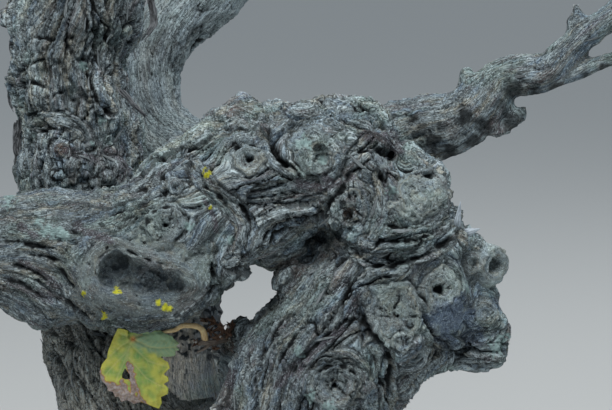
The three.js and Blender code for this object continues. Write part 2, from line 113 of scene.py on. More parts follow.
# The front limb's stem ends at the first of these of its points, and its arm starts at the second.
STEM_END, ARM_START = 4, 8

# The trunk's gnarls, root shoulders and cords, as in the solids.
GNARL_SHARE = 0.03
GNARL_WAVES = [
    (0.071, 0.02, 0.043, 0.4), (-0.038, 0.067, 0.059, 1.9), (0.052, -0.061, 0.085, 4.1),
    (0.118, 0.049, -0.071, 2.6), (-0.093, 0.104, 0.066, 5.2),
]
SHOULDERS, SHOULDER_HEIGHT = [(5, 0.14, 0.6), (3, 0.07, 2)], 60
CORDS, CORD_HEIGHT, CORD_TWIST, CORD_SWAY, SWAY_LENGTH = 7, 0.1, 0.008, 0.6, 75


def smoothstep(x, low, high):
    t = np.clip((x - low) / (high - low), 0, 1)
    return t * t * (3 - 2 * t)


def fall(x, low, high):
    """The reverse of the step above, from 1 down to 0."""
    return 1 - smoothstep(x, low, high)


def bell(x, width):
    return np.exp(-((x / width) ** 2))


def unit(v):
    return v / np.maximum(np.linalg.norm(v, axis=-1, keepdims=True), 1e-9)


def arc_lengths(line):
    """How far along a line each of its points lies."""
    return np.concatenate([[0], np.cumsum(np.linalg.norm(np.diff(line, axis=0), axis=1))])


def soften(values, rounds):
    """The same run of values, evened out in place between its two ends."""
    for _ in range(rounds):
        values[1:-1] = (values[:-2] + 2 * values[1:-1] + values[2:]) / 4
    return values


def distances(points, others):
    return np.linalg.norm(points[:, None].astype(np.float32) - others[None].astype(np.float32), axis=2)


# Seeded gradient noise of 3-D points, from about -1 to 1.
GRADIENTS = np.array(
    [[1, 1, 0], [-1, 1, 0], [1, -1, 0], [-1, -1, 0], [1, 0, 1], [-1, 0, 1], [1, 0, -1], [-1, 0, -1],
     [0, 1, 1], [0, -1, 1], [0, 1, -1], [0, -1, -1], [1, 1, 0], [-1, 1, 0], [0, -1, 1], [0, -1, -1]],
    np.float32,
)
SHUFFLE = np.random.default_rng(7).permutation(4096).astype(np.int32)


def noise(points, seed):
    p = np.asarray(points, np.float32)
    cell = np.floor(p).astype(np.int32)
    f = p - cell
    ease = f * f * f * (f * (f * 6 - 15) + 10)
    total = np.zeros(len(p), np.float32)
    for dx in (0, 1):
        hx = SHUFFLE[(cell[:, 0] + dx + seed * 131) & 4095]
        wx = ease[:, 0] if dx else 1 - ease[:, 0]
        for dy in (0, 1):
            hy = SHUFFLE[(hx + cell[:, 1] + dy) & 4095]
            wy = wx * (ease[:, 1] if dy else 1 - ease[:, 1])
            for dz in (0, 1):
                g = GRADIENTS[SHUFFLE[(hy + cell[:, 2] + dz) & 4095] & 15]
                dot = g[:, 0] * (f[:, 0] - dx) + g[:, 1] * (f[:, 1] - dy) + g[:, 2] * (f[:, 2] - dz)
                total += wy * (ease[:, 2] if dz else 1 - ease[:, 2]) * dot
    return total * 1.5


# How many points are measured against a limb at once.
BATCH = 20000


class Limb:
    """A smooth centre line with radii, arc length and a frame that doesn't twist."""

    def __init__(self, name, points, step=4.0):
        self.name = name
        p = np.array(points, float)
        last = len(p) - 1
        ext = np.vstack([2 * p[0, :3] - p[1, :3], p[:, :3], 2 * p[-1, :3] - p[-2, :3]])
        place = np.linspace(0, last, last * 24 + 1)
        i = np.minimum(place.astype(int), last - 1)
        t = (place - i)[:, None]
        p0, p1, p2, p3 = ext[i], ext[i + 1], ext[i + 2], ext[i + 3]
        m1, m2 = (p2 - p0) / 2, (p3 - p1) / 2
        c = (2 * t**3 - 3 * t**2 + 1) * p1 + (t**3 - 2 * t**2 + t) * m1
        c += (-2 * t**3 + 3 * t**2) * p2 + (t**3 - t**2) * m2
        s = arc_lengths(c)
        n = max(4, int(s[-1] / step))
        at = np.linspace(0, s[-1], n + 1)
        self.centre = np.stack([np.interp(at, s, c[:, k]) for k in range(3)], 1)
        self.place = np.interp(at, s, place)
        self.radius = np.interp(self.place, np.arange(last + 1), p[:, 3])
        self.along = at
        self.tangent = unit(np.gradient(self.centre, axis=0))
        side = np.array([0.0, -1.0, 0.0])
        sides = []
        for tangent in self.tangent:
            side = unit(side - side.dot(tangent) * tangent)
            sides.append(side)
        self.side = np.array(sides)
        self.other = np.cross(self.tangent, self.side)
        self.bend = soften(np.gradient(self.tangent, axis=0) / at[1], 4)

    def nearest(self, points):
        """Distance past the surface, arc length, angle, radius and place of each point on this limb."""
        index = np.empty(len(points), int)
        for a in range(0, len(points), BATCH):
            gap = distances(points[a : a + BATCH], self.centre)
            index[a : a + BATCH] = (gap - self.radius).argmin(1)
        v = points - self.centre[index]
        ahead = (v * self.tangent[index]).sum(1)
        step = self.along[1]
        inner = (index > 0) & (index < len(self.along) - 1)
        ahead = ahead / np.maximum(1 - (v * self.bend[index]).sum(1), 0.15)
        u = self.along[index] + np.where(inner, np.clip(ahead, -step, step), ahead)
        angle = np.arctan2((v * self.other[index]).sum(1), (v * self.side[index]).sum(1))
        out = np.linalg.norm(v, axis=1) - self.radius[index]
        return out, u, angle, np.interp(u, self.along, self.radius), np.interp(u, self.along, self.place)


LIMBS = {name: Limb(name, points) for name, points in LIMB_POINTS.items()}
FRONT = LIMBS["front"]


class Field:
    """Distance to the wood's smooth surface on a grid of voxels, negative inside."""

    def __init__(self, low, high, h):
        self.low = np.array(low, float)
        self.h = h
        self.shape = np.ceil((np.array(high) - self.low) / h).astype(int) + 1
        self.d = np.full(self.shape, 60.0, np.float32)

    def block(self, low, high):
        a = np.clip(np.floor((np.array(low) - self.low) / self.h).astype(int), 0, self.shape - 1)
        b = np.clip(np.ceil((np.array(high) - self.low) / self.h).astype(int) + 1, a + 1, self.shape)
        cut = tuple(slice(x, y) for x, y in zip(a, b))
        axes = [(self.low[k] + np.arange(a[k], b[k]) * self.h).astype(np.float32) for k in range(3)]
        return cut, axes[0][:, None, None], axes[1][None, :, None], axes[2][None, None, :]

    def add(self, low, high, distance, blend):
        cut, x, y, z = self.block(low, high)
        self.d[cut] = smooth_min(self.d[cut], distance(x, y, z).astype(np.float32), blend)

    def cut(self, low, high, distance, blend):
        cut, x, y, z = self.block(low, high)
        self.d[cut] = -smooth_min(-self.d[cut], distance(x, y, z).astype(np.float32), blend)

    def add_rod(self, a, b, ra, rb, blend, margin):
        self.add(np.minimum(a, b) - margin, np.maximum(a, b) + margin, capsule(a, b, ra, rb), blend)

    def add_ball(self, centre, radius, blend):
        reach = radius + blend + 4
        self.add(centre - reach, centre + reach, ball(centre, radius), blend)

    def at(self, points):
        q = (points - self.low) / self.h
        i = np.clip(np.floor(q).astype(int), 0, self.shape - 2)
        f = (q - i).astype(np.float32)
        total = np.zeros(len(q), np.float32)
        for dx in (0, 1):
            for dy in (0, 1):
                for dz in (0, 1):
                    w = (f[:, 0] if dx else 1 - f[:, 0]) * (f[:, 1] if dy else 1 - f[:, 1])
                    w = w * (f[:, 2] if dz else 1 - f[:, 2])
                    total += w * self.d[i[:, 0] + dx, i[:, 1] + dy, i[:, 2] + dz]
        return total

    def slope(self, points):
        e = self.h * 0.9
        return np.stack([(self.at(points + d) - self.at(points - d)) / (2 * e) for d in np.eye(3) * e], 1)


def smooth_min(a, b, k):
    if k <= 0:
        return np.minimum(a, b)
    share = np.maximum(k - np.abs(a - b), 0) / k
    return np.minimum(a, b) - share * share * (k / 4)


def ball(centre, radius):
    cx, cy, cz = centre
    return lambda x, y, z: np.sqrt((x - cx) ** 2 + (y - cy) ** 2 + (z - cz) ** 2) - radius


def capsule(a, b, ra, rb):
    ab = b - a
    square = float(ab @ ab)

    def distance(x, y, z):
        t = np.clip(((x - a[0]) * ab[0] + (y - a[1]) * ab[1] + (z - a[2]) * ab[2]) / square, 0, 1)
        gap = (x - a[0] - t * ab[0]) ** 2 + (y - a[1] - t * ab[1]) ** 2 + (z - a[2] - t * ab[2]) ** 2
        return np.sqrt(gap) - (ra + t * (rb - ra))

    return distance


def shown_at(points):
    """Where points lie in the picture, in pixels."""
    v = points - EYE
    depth = v @ LOOK
    px = PICTURE[0] / 2 + v[:, 0] * DISTANCE / depth / PIXEL
    py = PICTURE[1] / 2 - (v @ RISE) * DISTANCE / depth / PIXEL
    return px, py


def shown_block(x, y, z):
    """The same for a block of voxels, and how far each lies from the camera."""
    depth = (y - EYE[1]) * LOOK[1] + (z - EYE[2]) * LOOK[2]
    rise = (y - EYE[1]) * RISE[1] + (z - EYE[2]) * RISE[2]
    px = PICTURE[0] / 2 + (x - EYE[0]) * DISTANCE / depth / PIXEL
    return px, PICTURE[1] / 2 - rise * DISTANCE / depth / PIXEL + 0 * px, depth + 0 * px


# Large bosses that show in the outline, as in the solids: x, y, z, radius.
BIG_BOSSES = [
    (86, -4, 387, 25), (150, -8, 360, 38), (166, 6, 463, 28), (203, -4, 379, 25), (27, 8, 522, 23),
    (84, 14, 428, 22),
]


class Outline:
    """Signed distance from a closed outline in the picture, in pixels, negative inside."""

    def __init__(self, places, margin=60):
        a = np.array(places, float)
        self.low = a.min(0) - margin
        size = np.ceil(a.max(0) + margin - self.low).astype(int) + 1
        px, py = (self.low[k] + np.arange(size[k]) for k in (0, 1))
        px, py = px[:, None], py[None, :]
        best, inside = np.full(size, 1e9), np.zeros(size, bool)
        for (ax, ay), (bx, by) in zip(a, np.roll(a, -1, 0)):
            ex, ey = bx - ax, by - ay
            t = np.clip(((px - ax) * ex + (py - ay) * ey) / (ex * ex + ey * ey), 0, 1)
            best = np.minimum(best, (px - ax - t * ex) ** 2 + (py - ay - t * ey) ** 2)
            inside ^= ((ay > py) != (by > py)) & (px < ax + (py - ay) * ex / (ey or 1e-9))
        self.d = (np.where(inside, -1, 1) * np.sqrt(best)).astype(np.float32)

    def at(self, px, py):
        u = np.clip(px - self.low[0], 0, self.d.shape[0] - 1.001)
        v = np.clip(py - self.low[1], 0, self.d.shape[1] - 1.001)
        i, j = u.astype(np.int32), v.astype(np.int32)
        f, g = (u - i).astype(np.float32), (v - j).astype(np.float32)
        lower = self.d[i, j] * (1 - f) + self.d[i + 1, j] * f
        return lower * (1 - g) + (self.d[i, j + 1] * (1 - f) + self.d[i + 1, j + 1] * f) * g


# The arched limb's outline in the picture, with the gap under the arch. It runs on past the picture's edges.
ARCH = Outline([
    (-260, 60), (-120, 120), (-50, 186), (0, 196), (40, 189), (75, 186), (110, 191), (130, 187), (145, 165),
    (170, 142), (200, 127), (215, 112), (232, 99), (247, 93), (262, 99), (272, 106), (300, 104), (330, 99),
    (352, 97), (372, 103), (386, 115), (393, 130), (400, 143), (420, 154), (436, 165), (446, 180),
    (451, 200), (460, 220), (471, 235), (489, 249), (505, 261), (508, 275), (502, 287), (499, 300),
    (502, 312), (509, 330), (513, 345), (510, 361), (499, 368), (475, 366), (450, 363), (430, 369),
    (415, 381), (405, 396), (398, 411), (420, 520), (420, 720), (110, 720), (150, 480), (216, 411),
    (219, 392), (222, 363), (233, 341), (244, 328), (256, 315), (262, 306), (271, 297), (276, 293),
    (283, 291), (280, 285), (283, 281), (288, 273), (284, 268), (280, 261), (270, 265), (262, 260),
    (255, 259), (245, 262), (238, 270), (228, 277), (219, 288), (217, 297), (207, 303), (197, 309),
    (190, 320), (160, 331), (120, 331), (80, 320), (60, 326), (30, 326), (0, 304), (-60, 318), (-260, 260),
])


def add_limb(field, limb, blend):
    """A chain of capsules, joined sharply to itself and smoothly to what stands already."""
    reach, extra = limb.radius.max(), 5 if limb is FRONT else 0
    own = Field(limb.centre.min(0) - reach - 34, limb.centre.max(0) + reach + 34, field.h)
    own.low = field.low + np.round((own.low - field.low) / field.h) * field.h
    marks = list(range(0, len(limb.along) - 1, 3)) + [len(limb.along) - 1]
    for i, j in zip(marks, marks[1:]):
        ra, rb = limb.radius[i], limb.radius[j]
        own.add_rod(limb.centre[i], limb.centre[j], ra + extra, rb + extra, 0, max(ra, rb) + 32)
    if limb is FRONT:
        for x, y, z, radius in BIG_BOSSES:
            own.add_ball(np.array([x, y, z], float), radius, 12)
        _, x, y, z = own.block(own.low, own.low + own.shape * own.h)
        px, py, _ = shown_block(x, y, z)
        own.d = -smooth_min(-own.d, -(ARCH.at(px, py) * PIXEL).astype(np.float32), 7)
    start = np.round((own.low - field.low) / field.h).astype(int)
    a = np.clip(start, 0, field.shape - 1)
    b = np.clip(start + own.shape, a + 1, field.shape)
    cut = tuple(slice(x, y) for x, y in zip(a, b))
    inner = tuple(slice(x - s, y - s) for x, y, s in zip(a, b, start))
    field.d[cut] = smooth_min(field.d[cut], own.d[inner], blend)


def trunk_distance(x, y, z):
    """The trunk, whose foot spreads into root shoulders."""
    limb = LIMBS["trunk"]
    level = np.clip(z, 0, limb.centre[-1, 2])
    at_level = lambda values: np.interp(level.ravel(), limb.centre[:, 2], values).reshape(level.shape)
    cx, cy, radius = map(at_level, (limb.centre[:, 0], limb.centre[:, 1], limb.radius))
    angle = np.arctan2(x - cx, -(y - cy))
    foot = np.exp(-level / SHOULDER_HEIGHT)
    lobes = sum(share * np.cos(count * angle + phase) for count, share, phase in SHOULDERS)
    rim_x, rim_y = cx + radius * np.sin(angle), cy - radius * np.cos(angle)
    waves = sum(np.sin(a * rim_x + b * rim_y + c * level + phase) for a, b, c, phase in GNARL_WAVES)
    turn = CORD_TWIST * level + CORD_SWAY * np.sin(level / SWAY_LENGTH)
    cord = np.abs(np.cos(CORDS * angle / 2 + turn)) - 2 / math.pi
    share = 1 + GNARL_SHARE * waves + foot * lobes + CORD_HEIGHT * cord
    return np.hypot(x - cx, y - cy) - radius * share + np.maximum(z - limb.centre[-1, 2], 0) * 0.9


# The blocks that hold the wood and the trunk, and how softly each limb joins what stands before it.
WOOD_BLOCK = [-380, -150, -14], [500, 450, 790]
TRUNK_BLOCK = [-150, -150, -14], [150, 150, 300]
BLENDS = {
    "left_limb": 24, "back_stem": 24, "dead_stub": 8, "front": 12, "back_arm": 16, "right_arm": 16,
    "right_cane": 5,
}
field = Field(*WOOD_BLOCK, VOXEL)
field.add(*TRUNK_BLOCK, trunk_distance, 0)
for name, blend in BLENDS.items():
    add_limb(field, LIMBS[name], blend)


# How far before and behind the target the wood is searched along a line of sight.
SEARCH_BEFORE, SEARCH_BEHIND = 260, 420


def seen(px, py, sink=0.0):
    """The point of the wood that shows at a place in the picture."""
    x, y = (px - PICTURE[0] / 2) * PIXEL, (PICTURE[1] / 2 - py) * PIXEL
    ray = unit(TARGET + np.array([x, 0, 0]) + y * RISE - EYE)
    reach = np.arange(DISTANCE - SEARCH_BEFORE, DISTANCE + SEARCH_BEHIND, 1.0)
    line = EYE + reach[:, None] * ray
    hit = np.flatnonzero(field.at(line) < 0)
    first = line[hit[0]] if len(hit) else EYE + DISTANCE * ray
    return first + sink * ray


# Each arm ends in a knuckle of old wood: share of its length, and width as a share of the arm's. The twigs on
# it have their limb, a seed and the way that they aim.
KNUCKLE = 46
KNUCKLE_SHAPE = [(0, 1), (0.35, 1.12), (0.75, 0.92), (1, 0.5)]
MASSES = {
    "front_arm_twigs": ("front", 11, (-0.6, -0.1, 1)), "left_limb_twigs": ("left_limb", 23, (-0.3, -0.1, 1)),
    "back_arm_twigs": ("back_arm", 37, (0.1, 0.35, 1)), "right_arm_twigs": ("right_arm", 53, (0.45, -0.1, 1)),
}
for limb_name, _, _ in MASSES.values():
    tip, heading, thick = (getattr(LIMBS[limb_name], key)[-1] for key in ("centre", "tangent", "radius"))
    spots = [(tip + heading * share * KNUCKLE, thick * width) for share, width in KNUCKLE_SHAPE]
    for (a, ra), (b, rb) in zip(spots, spots[1:]):
        field.add_rod(a, b, ra, rb, 6, ra + 14)

# Swellings on the old wood, where they show in the picture: x, y, radius and how far they stand out, all in
# pixels.
BOSSES = [
    (322, 155, 36, 4), (425, 195, 36, 12), (350, 207, 29, 9), (440, 290, 31, 7), (484, 313, 25, 13),
    (398, 318, 36, 9), (403, 345, 14, 9), (415, 358, 13, 9), (386, 345, 11, 6), (335, 386, 33, 6),
    (165, 224, 25, 5), (248, 160, 24, 4), (240, 118, 22, 3), (229, 256, 17, 9), (44, 316, 17, 9),
    (344, 135, 7, 5), (300, 285, 22, 8), (176, 187, 10, 5), (375, 120, 26, 5), (290, 195, 26, 3),
    (76, 172, 26, 11), (112, 174, 20, 10), (52, 52, 24, 8), (95, 100, 20, 9), (48, 95, 18, 7),
    (92, 380, 20, 8), (452, 240, 18, 8), (270, 210, 18, 5), (300, 120, 22, 4), (205, 150, 20, 4),
    (372, 232, 16, 5), (418, 238, 15, 5), (30, 215, 20, 4), (250, 235, 16, 6), (365, 375, 16, 6),
    (300, 345, 20, 3), (262, 380, 20, 3),
]
for px, py, radius, proud in BOSSES:
    size = radius * PIXEL
    field.add_ball(seen(px, py, size - proud * PIXEL), size, size * 0.45)


def outside_arch(x, y, z):
    return -ARCH.at(*shown_block(x, y, z)[:2]) * PIXEL - 1


# A burl of small hard knobs on the upright limb: x, y and radius in pixels.
KNOBS = [
    (62, 151, 10), (77, 147, 7), (70, 165, 8), (91, 145, 5), (84, 158, 5), (100, 167, 5), (108, 177, 8),
    (119, 168, 6), (96, 183, 6), (126, 180, 5), (112, 152, 5), (135, 160, 5), (59, 175, 6), (86, 175, 5),
    (122, 151, 4), (74, 182, 4),
]
for px, py, radius in KNOBS:
    field.add_ball(seen(px, py, radius * 0.15 * PIXEL), radius * PIXEL, 1.0)

# In these blocks the head and the arm's back keep to the outline that they have in the picture.
for low, high in (([96, -150, 300], [260, 90, 560]), ([-24, -150, 470], [96, 62, 580])):
    field.cut(low, high, outside_arch, 5)


def add_stub(start, end, hollow=False):
    """A short spur with a flat cut end. Where it is hollow the pith has rotted out of it."""
    a, b = np.array(start[:3], float), np.array(end[:3], float)
    way = unit(b - a)
    body = capsule(a, b + way * 8, start[3], end[3])
    low, high = np.minimum(a, b) - 44, np.maximum(a, b) + 44
    cut_end = lambda x, y, z: (x - b[0]) * way[0] + (y - b[1]) * way[1] + (z - b[2]) * way[2]
    field.add(low, high, lambda x, y, z: -smooth_min(-body(x, y, z), -cut_end(x, y, z), 5), 9)
    if hollow:
        pit = capsule(b + way * 2, b - way * end[3] * 0.8, end[3] * 0.52, end[3] * 0.36)
        field.cut(b - 40, b + 40, pit, 2)


# Stubs, each from its foot to its end, as x, y, z, radius.
HOLLOW_STUBS = [([196, 0, 420, 16], [223, -30, 421, 14]), ([188, 0, 424, 13], [199, -28, 424, 8.5])]
HEAD_STUB = [178, -8, 362, 21], [230, -20, 355, 11.5]
ARM_STUBS = [
    ([236, 226, 505, 7], [262, 222, 502, 5.5]), ([222, 230, 512, 7], [224, 228, 532, 4.5]),
    ([312, 204, 568, 6], [303, 202, 587, 4]), ([200, 236, 476, 15], [203, 232, 468, 14]),
    ([277, 214, 534, 13], [279, 212, 530, 12]),
]
# A tongue of wood on the head: x, y, how far it is sunk in mm, and radius in mm.
TONGUE = [(366, 133, 2, 6), (382, 139, 0, 6.5), (397, 150, 1, 3.5)]
# Gnarls in the crotch beside the dead stub: x, y, z, radius.
GNARLS = [(27, 14, 350, 13), (25, 18, 361, 8), (33, 8, 362, 8), (18, 16, 338, 9), (20, 14, 326, 9)]
# Short old spurs on the right arm, one of them hooked: x, y, z, radius along each.
ARM_SPURS = [
    [
        (230, 222, 497, 9), (245, 222, 488, 5), (254, 222, 489, 4.2), (260, 221, 494, 4.6),
        (265, 221, 500, 4.2), (267, 220, 506, 2.8),
    ],
    [(222, 226, 515, 8), (218, 226, 538, 4)], [(322, 204, 572, 9), (312, 204, 586, 5), (308, 203, 596, 3.5)],
]
tongue = [(*seen(*place), radius) for *place, radius in TONGUE]


def add_spur(rings):
    for start, end in zip(rings, rings[1:]):
        a, b = np.array(start[:3], float), np.array(end[:3], float)
        field.add_rod(a, b, start[3], end[3], 4, 16)


add_spur(tongue)
ringed_ends = []
for start, end in HOLLOW_STUBS:
    add_stub(start, end, True)
    ringed_ends.append((np.array(end[:3]), unit(np.array(end[:3]) - start[:3]), end[3]))
for *centre, radius in GNARLS:
    field.add_ball(np.array(centre, float), radius, 6)
add_stub(*HEAD_STUB)
for spur in ARM_SPURS:
    add_spur(spur)
for start, end in ARM_STUBS:
    add_stub(start, end)


# The large pruning scar on the front arm: a rolled rim round a sunken face of old wood.
SCAR = [
    (99, 266), (103, 259), (110, 253), (117, 251), (125, 254), (132, 258), (140, 262), (150, 265),
    (160, 267), (170, 270), (178, 274), (184, 280), (186, 286), (182, 290), (175, 292), (167, 294),
    (157, 293), (143, 293), (132, 290), (122, 289), (110, 288), (102, 283), (98, 275),
]
SCAR_MIDDLE = np.array([138, 276])
SCAR_COLLAR = 17
RIM_SPREAD, RIM_SINK, RIM_RADIUS = [1.12, 1.45], 6.0, 10.5
rim = [seen(*(SCAR_MIDDLE + (np.array(place) - SCAR_MIDDLE) * RIM_SPREAD), RIM_SINK) for place in SCAR]
for a, b in zip(rim, rim[1:] + rim[:1]):
    field.add_rod(a, b, RIM_RADIUS, RIM_RADIUS, 10, 30)
SCAR_SHAPE = Outline(SCAR)
# Its floor is deeper at its round end, at a dark place and at a pore: x, y, size.
SCAR_DEPTHS = (117, 267, 15), (124, 260, 7), (115, 267, 2.6)
mouth = np.array([seen(*place) for place in SCAR])
tilt = np.linalg.lstsq(np.c_[np.array(SCAR), np.ones(len(SCAR))], (mouth - EYE) @ LOOK, rcond=None)[0]


def scar_hollow(x, y, z):
    px, py, depth = shown_block(x, y, z)
    below = depth - (tilt[0] * px + tilt[1] * py + tilt[2])
    edge = SCAR_SHAPE.at(px, py) * PIXEL
    round_part, dark_part, pore = (
        np.exp(-((px - u) ** 2 + (py - v) ** 2) / size**2) for u, v, size in SCAR_DEPTHS
    )
    spots = np.stack(np.broadcast_arrays(x, y, z), -1).reshape(-1, 3)
    rough = (4.5 * noise(spots / [6, 9, 4], 48) + 2 * noise(spots / 3, 49)).reshape(px.shape)
    ragged = (1.6 * noise(spots / 7, 50)).reshape(px.shape)
    floor = 9 + 6 * round_part + 9 * dark_part + 8 * pore + rough * (1.15 - round_part)
    return np.maximum(edge + ragged + below * 0.12, below - floor)


field.cut(mouth.min(0) - 26, mouth.max(0) + 34, scar_hollow, 1.0)

# Hollows: x, y, radius and depth in pixels.
HOLLOWS = [
    (322, 238, 11, 34), (338, 232, 8, 22), (310, 245, 8, 20), (450, 351, 9, 18), (462, 348, 7, 14),
    (392, 155, 4, 13), (388, 151, 3, 9), (428, 356, 5, 14), (237, 192, 4, 12), (318, 149, 4, 9),
    (323, 157, 8, 5), (425, 176, 6, 5), (432, 175, 5, 5), (347, 213, 5, 10), (342, 208, 4, 6),
]
for px, py, radius, depth in HOLLOWS:
    mouth, end = seen(px, py, -4), seen(px, py, depth * PIXEL)
    reach = radius * PIXEL + 8
    low, high = np.minimum(mouth, end) - reach, np.maximum(mouth, end) + reach
    field.cut(low, high, capsule(mouth, end, radius * PIXEL, radius * PIXEL * 0.6), 4)
GROUND_BLOCK = [-400, -200, -40], [400, 200, 12]
field.cut(*GROUND_BLOCK, lambda x, y, z: z + 0 * x + 0 * y, 0)


def surface(field):
    """Closed quads round the negative voxels, with a vertex in each mixed cell, a quad at each mixed edge."""
    inside = field.d < 0
    corners = [(i, j, k) for i in (0, 1) for j in (0, 1) for k in (0, 1)]
    n = np.array(inside.shape) - 1
    part = lambda a, c: a[c[0] : c[0] + n[0], c[1] : c[1] + n[1], c[2] : c[2] + n[2]]
    count = sum(part(inside, c).astype(np.int8) for c in corners)
    cells = np.argwhere((count > 0) & (count < 8))
    ids = np.full(n, -1, np.int32)
    ids[tuple(cells.T)] = np.arange(len(cells))
    value = {c: field.d[tuple((cells + c).T)] for c in corners}
    total, hits = np.zeros((len(cells), 3)), np.zeros(len(cells))
    for a in corners:
        for axis in range(3):
            if a[axis]:
                continue
            b = tuple(v + (k == axis) for k, v in enumerate(a))
            mixed = (value[a] < 0) != (value[b] < 0)
            t = np.where(mixed, value[a] / np.where(mixed, value[a] - value[b], 1), 0)
            spot = np.array(a, float) + np.eye(3)[axis] * t[:, None]
            total += spot * mixed[:, None]
            hits += mixed
    points = field.low + (cells + total / hits[:, None]) * field.h
    quads = []
    for axis in range(3):
        u, v = (axis + 1) % 3, (axis + 2) % 3
        a = np.moveaxis(inside, axis, 0)
        edge = np.argwhere(a[:-1] != a[1:])
        grid = np.empty_like(edge)
        others = [k for k in range(3) if k != axis]
        grid[:, axis], grid[:, others[0]], grid[:, others[1]] = edge[:, 0], edge[:, 1], edge[:, 2]
        grid = grid[((grid > 0) & (grid < n)).all(1)]
        start = inside[tuple(grid.T)]
        du, dv = np.eye(3, dtype=int)[u], np.eye(3, dtype=int)[v]
        four = [ids[tuple((grid - s).T)] for s in (du + dv, dv, 0 * du, du)]
        quad = np.stack(four, 1)
        quad[~start] = quad[~start][:, ::-1]
        quads.append(quad)
    return points, np.concatenate(quads)


def settle(points, rounds):
    for _ in range(rounds):
        slope = field.slope(points)
        points = points - (field.at(points) / np.maximum((slope**2).sum(1), 0.2))[:, None] * slope
    return points


points, quads = surface(field)
points = settle(points, 2)


def in_picture(points, margin):
    px, py = shown_at(points)
    return (px > -margin) & (px < PICTURE[0] + margin) & (py > -margin) & (py < PICTURE[1] + margin)


# Quads that face the camera inside the picture are split in four, up to some way back. What is drawn on the
# wood reaches a little less far back, and the arched limb's near side lies in front of NEAR_SIDE.
SPLIT_UP_TO, DRAWN_UP_TO, NEAR_SIDE = 180, 170, 20
SPLIT_MARGIN, DRAWN_MARGIN = 20, 30
FACING = -0.1
first_middle = len(points)
middle = points[quads].mean(1)
turned = (unit(field.slope(middle)) * unit(EYE - middle)).sum(1) > FACING
fine = in_picture(middle, SPLIT_MARGIN) & turned & (middle[:, 1] < SPLIT_UP_TO) & (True)
edges = np.concatenate([np.sort(quads[fine][:, [k, (k + 1) % 4]], 1) for k in range(4)])
pairs, back, uses = np.unique(edges, axis=0, return_inverse=True, return_counts=True)
back = back.reshape(4, -1).T + first_middle
hub = np.arange(int(fine.sum())) + first_middle + len(pairs)
split = [np.stack([quads[fine][:, k], back[:, k], hub, back[:, (k + 3) % 4]], 1) for k in range(4)]
seam = np.flatnonzero(uses == 1)
points = np.vstack([points, points[pairs].mean(1), points[quads[fine]].mean(1)])
points[first_middle:] = settle(points[first_middle:], 2)
faces = np.concatenate([quads[~fine], *split])

# Pruning scars and knots that the bark flows round: x, y and radius in pixels, rim height and hole radius in
# mm, how smooth the face is, and how flat the shape is.
KNOTS = [
    (165, 225, 23, 3.0, 2.2, 0.60, 1.15), (249, 158, 18, 2.6, 3.3, 0.65, 1.3),
    (320, 153, 28, 2.5, 0, 0.35, 1.0), (350, 208, 25, 3.0, 0, 0.25, 0.9),
    (440, 290, 24, 2.6, 4.0, 0.75, 1.0), (398, 316, 33, 0.8, 1.2, 0.60, 1.0),
    (335, 386, 27, 3.0, 2.0, 0.50, 1.0), (176, 187, 8, 2.0, 0, 0.60, 1.0),
    (424, 192, 28, 0.8, 0, 0.75, 1.0), (476, 262, 11, 1.0, 2.4, 0.70, 1.0),
    (485, 314, 18, 1.5, 0, 0.60, 1.0), (414, 356, 9, 1.8, 1.8, 0.60, 1.0), (143, 276, 60, 0, 0, 0.90, 1.6),
    (344, 134, 6, 1.0, 0, 0.80, 1.0), (455, 320, 21, -1.0, 0, 0.95, 1.0), (402, 343, 11, 1.8, 0, 0.60, 1.0),
    (64, 150, 8, 0.6, 0, 0.20, 1.0), (89, 145, 7, 0.6, 0, 0.20, 1.0), (112, 150, 6, 0.6, 0, 0.10, 1.0),
    (381, 158, 9, -0.5, 0, 0.9, 1.2),
]
knots = {name: [] for name in LIMBS}
for px, py, radius, rim, hole, callus, squat in KNOTS:
    centre = seen(px, py)
    name = min(NAMES, key=lambda key: LIMBS[key].nearest(centre[None])[0][0])
    _, u, angle, _, _ = LIMBS[name].nearest(centre[None])
    knots[name].append((centre, u[0], angle[0], radius * PIXEL, rim, hole, callus, squat))

# The dead stub's top is rotten and crumbly above this height.
ROTTEN_FROM = 332

# Zones where fibres run in arcs round a place: x, y, nearest and furthest radius, and from where to where
# they turn, in degrees.
ARCS = [(398, 182, 46, 84, 8, 172), (300, 330, 300, 430, 300, 330)]

